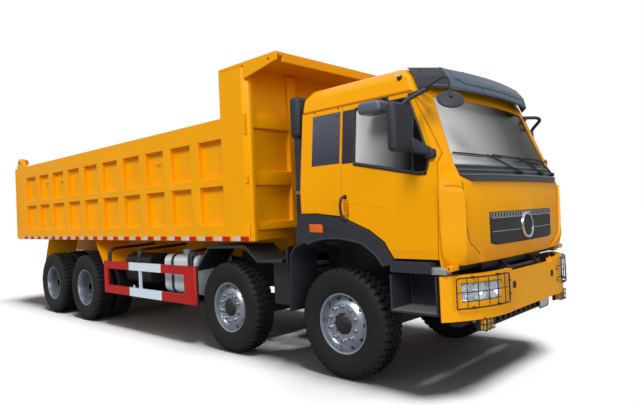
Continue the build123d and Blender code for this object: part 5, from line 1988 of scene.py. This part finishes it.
@dataclass
class VisorTrim:
    """Panel edges and screws on the sun visor."""

    frame: Path = ((-0.74, 2.915), (-0.70, 2.80), (-0.58, 2.765), (0.58, 2.765), (0.70, 2.80),
                   (0.74, 2.915))
    edge: Path = ((-0.98, 2.715), (-0.5, 2.705), (0.5, 2.705), (0.98, 2.715))
    seam: Path = ((0.86, 2.70), (0.845, 2.80), (0.80, 2.90))
    screws: Path = ((-0.98, 2.86), (-0.95, 2.75), (-0.45, 2.90), (-0.30, 2.74), (0.30, 2.74),
                    (0.45, 2.90), (0.95, 2.75), (0.98, 2.86))
    screw_radius: float = 0.009
    screw_deep: float = 0.006
    screw_sunk: float = 0.002
    mirror: Triple = (1.290, -1.128, 2.530)
    facing: Triple = (0.50, -0.53, 0.68)
    dish: Path = ((0.026, 0.0), (0.024, 0.030), (0.014, 0.080), (0.002, 0.108), (-0.006, 0.113),
                  (-0.014, 0.110), (-0.014, 0.0))
    stem: Path = ((1.288, -1.130, 2.600), (1.285, -1.125, 2.702), (1.200, -1.080, 2.735),
                  (1.030, -1.090, 2.665))

    def build(self) -> None:
        """Build the piece."""
        skin = Skin("sun_visor")
        work = Sculpt()
        for path, radius in ((self.frame, 0.012), (self.edge, 0.009)):
            work.lay(skin, [(0, y, z) for y, z in path], REARWARD, radius, VISOR_PLASTIC, -0.003)
        for way in (1, -1):
            work.lay(skin, [(0, way * y, z) for y, z in self.seam], REARWARD, 0.004, SEAL)
        for y, z in self.screws:
            found = skin.meet((0, y, z), REARWARD)
            if found:
                place, normal = found
                work.disc(place - normal * self.screw_sunk, normal, self.screw_radius,
                          self.screw_deep, SEAL, 8)
        self._round_mirror(work)
        work.publish("visor_trim", "cab", slot="visor_plastic")

    def _round_mirror(self, work: Sculpt) -> None:
        """The round mirror over the corner of the front, on its bent arm.

        Args:
            work: Mesh to add it to.
        """
        middle, facing = Vector(self.mirror), Vector(self.facing).normalized()
        work.lathe(self.dish, middle, facing, DARK_PLASTIC, 40)
        work.disc(middle + facing * 0.016, facing, 0.020, 0.022, SEAL, 16, bevel=0.004)
        work.tube([middle + facing * 0.03, *self.stem], 0.0085, SEAL, 10, 0.05)
        work.block((0.985, 1.050), (-1.125, -1.065), (2.635, 2.690), SEAL, 0.008)


@dataclass
class Bodywork:
    """Nodes of the frame whose own shape is right, with softened edges and their finishes."""

    WHITE_BAND = (-4.077, -3.182)
    GUARD_FACE = 1.18
    VISOR_MIDDLE = 0.80
    STRAPS = (-3.15, -2.67)

    def build(self) -> None:
        """Dress every such node."""
        for dressing in self._plan():
            dressing.build()

    def _plan(self) -> list[Dressing]:
        """The nodes with their bodies and finishes.

        Returns:
            What to do with each node.
        """
        plan = [
            Dressing("chassis_frame", "root", FRAME_PAINT, choose=self._plates),
            Dressing("powertrain", "root", ENGINE_GREY, 0.02),
            Dressing("steer_axles", "root", FRAME_PAINT),
            Dressing("drive_axles", "root", FRAME_PAINT),
            Dressing("leaf_springs", "root", FRAME_PAINT, 0.003),
            Dressing("fuel_tank", "root", TANK_METAL, 0.008, choose=self._straps),
            Dressing("side_equipment", "root", FRAME_PAINT, 0.012),
            Dressing("side_guards", "root", GUARD_RED, 0.008, choose=self._guard_bands,
                     cuts=tuple((x, 0, 0) for x in self.WHITE_BAND)),
            Dressing("mudguards", "root", BLACK_PLASTIC, 0.002),
            Dressing("cab_steps", "root", DARK_PLASTIC, 0.008, choose=self._treads),
            Dressing("front_bumper", "root", YELLOW, 0.014),
            Dressing("rear_crossbar", "root", FRAME_PAINT),
            Dressing("bed_floor", "bed", YELLOW, 0.004),
            Dressing("bed_sides", "bed", YELLOW, 0.009),
            Dressing("bed_front_wall", "bed", YELLOW, 0.009),
            Dressing("tailgate", "tailgate", YELLOW, 0.012),
            Dressing("cab_front_panel", "cab", YELLOW, 0.006),
            Dressing("cab_sides", "cab", YELLOW, 0.006),
            Dressing("cab_back_wall", "cab", YELLOW, 0.006),
            Dressing("cab_roof", "cab", YELLOW, 0.02),
            Dressing("cab_floor", "cab", FRAME_PAINT),
            Dressing("cab_glass", "cab", WINDSCREEN, 0.0, choose=self._panes),
            Dressing("sun_visor", "cab", VISOR_PLASTIC, 0.008, choose=self._visor_ends,
                     cuts=((0, -self.VISOR_MIDDLE, 0), (0, self.VISOR_MIDDLE, 0)),
                     drop=self._old_round_mirror),
            Dressing("wheel_arch_flares", "cab", DARK_PLASTIC, 0.012),
            Dressing("cab_interior", "cab", SEAT_CLOTH, 0.02),
            Dressing("hoist_barrel", "hoist_barrel", FRAME_PAINT),
        ]
        stages = [f"hoist_stage_{number}" for number in (1, 2, 3, 4)]
        plan += [Dressing(stage, stage, HOIST_CHROME) for stage in stages]
        for side in Side:
            door = f"door_{side.word}"
            plan.append(Dressing(door, door, YELLOW, 0.006))
            plan.append(Dressing(f"door_glass_{side.word}", door, DOOR_GLASS, 0.0))
            for number in ("1", "2"):
                name = f"knuckle_{number}_{side.word}"
                plan.append(Dressing(name, name, FRAME_PAINT))
        return plan

    def _guard_bands(self, place: Vector, _normal: Vector) -> Optional[Finish]:
        """White for the middle length of the side guards, black for what holds them.

        Args:
            place: Middle of a face.
            _normal: The face's normal, which isn't used.

        Returns:
            The finish of the face, or None for the node's own.
        """
        if abs(place.y) < self.GUARD_FACE:
            return FRAME_PAINT
        return GUARD_WHITE if self.WHITE_BAND[0] < place.x < self.WHITE_BAND[1] else None

    def _visor_ends(self, place: Vector, _normal: Vector) -> Optional[Finish]:
        """Darker end sections of the visor."""
        return DARK_PLASTIC if abs(place.y) > self.VISOR_MIDDLE else None

    @staticmethod
    def _old_round_mirror(place: Vector) -> bool:
        """Whether a face is on the plain round mirror that VisorTrim makes again."""
        return place.x > 1.13 and place.y < -1.0 and place.z < 2.72

    def _straps(self, place: Vector, _normal: Vector) -> Optional[Finish]:
        """Dark straps round the tank."""
        near = min(abs(place.x - strap) for strap in self.STRAPS)
        return FRAME_PAINT if near < 0.032 and place.z < 1.16 else None

    @staticmethod
    def _plates(place: Vector, _normal: Vector) -> Optional[Finish]:
        """The bare number plates under the bumper."""
        return PLATE_WHITE if 1.196 < place.x < 1.208 and 0.5 < abs(place.y) < 0.77 else None

    @staticmethod
    def _treads(place: Vector, normal: Vector) -> Optional[Finish]:
        """Chequered tread on the steps."""
        return TREAD if normal.z > 0.9 and place.z < 0.78 else None

    @staticmethod
    def _panes(place: Vector, _normal: Vector) -> Optional[Finish]:
        """Smoked glass in the quarter windows."""
        return SMOKED_GLASS if place.x < 0.4 else None


def main() -> None:
    """Build the whole truck around the frame."""
    logging.basicConfig(level=logging.INFO, format="%(name)s %(message)s")
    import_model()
    Studio().build()
    for group in (Bodywork, RunningGear, CabSides, CabFront, Mirrors, VisorTrim, FrontLamps,
                  BedTrim, ChassisTrim, Intake):
        group().build()


if __name__ == "__main__":
    main()
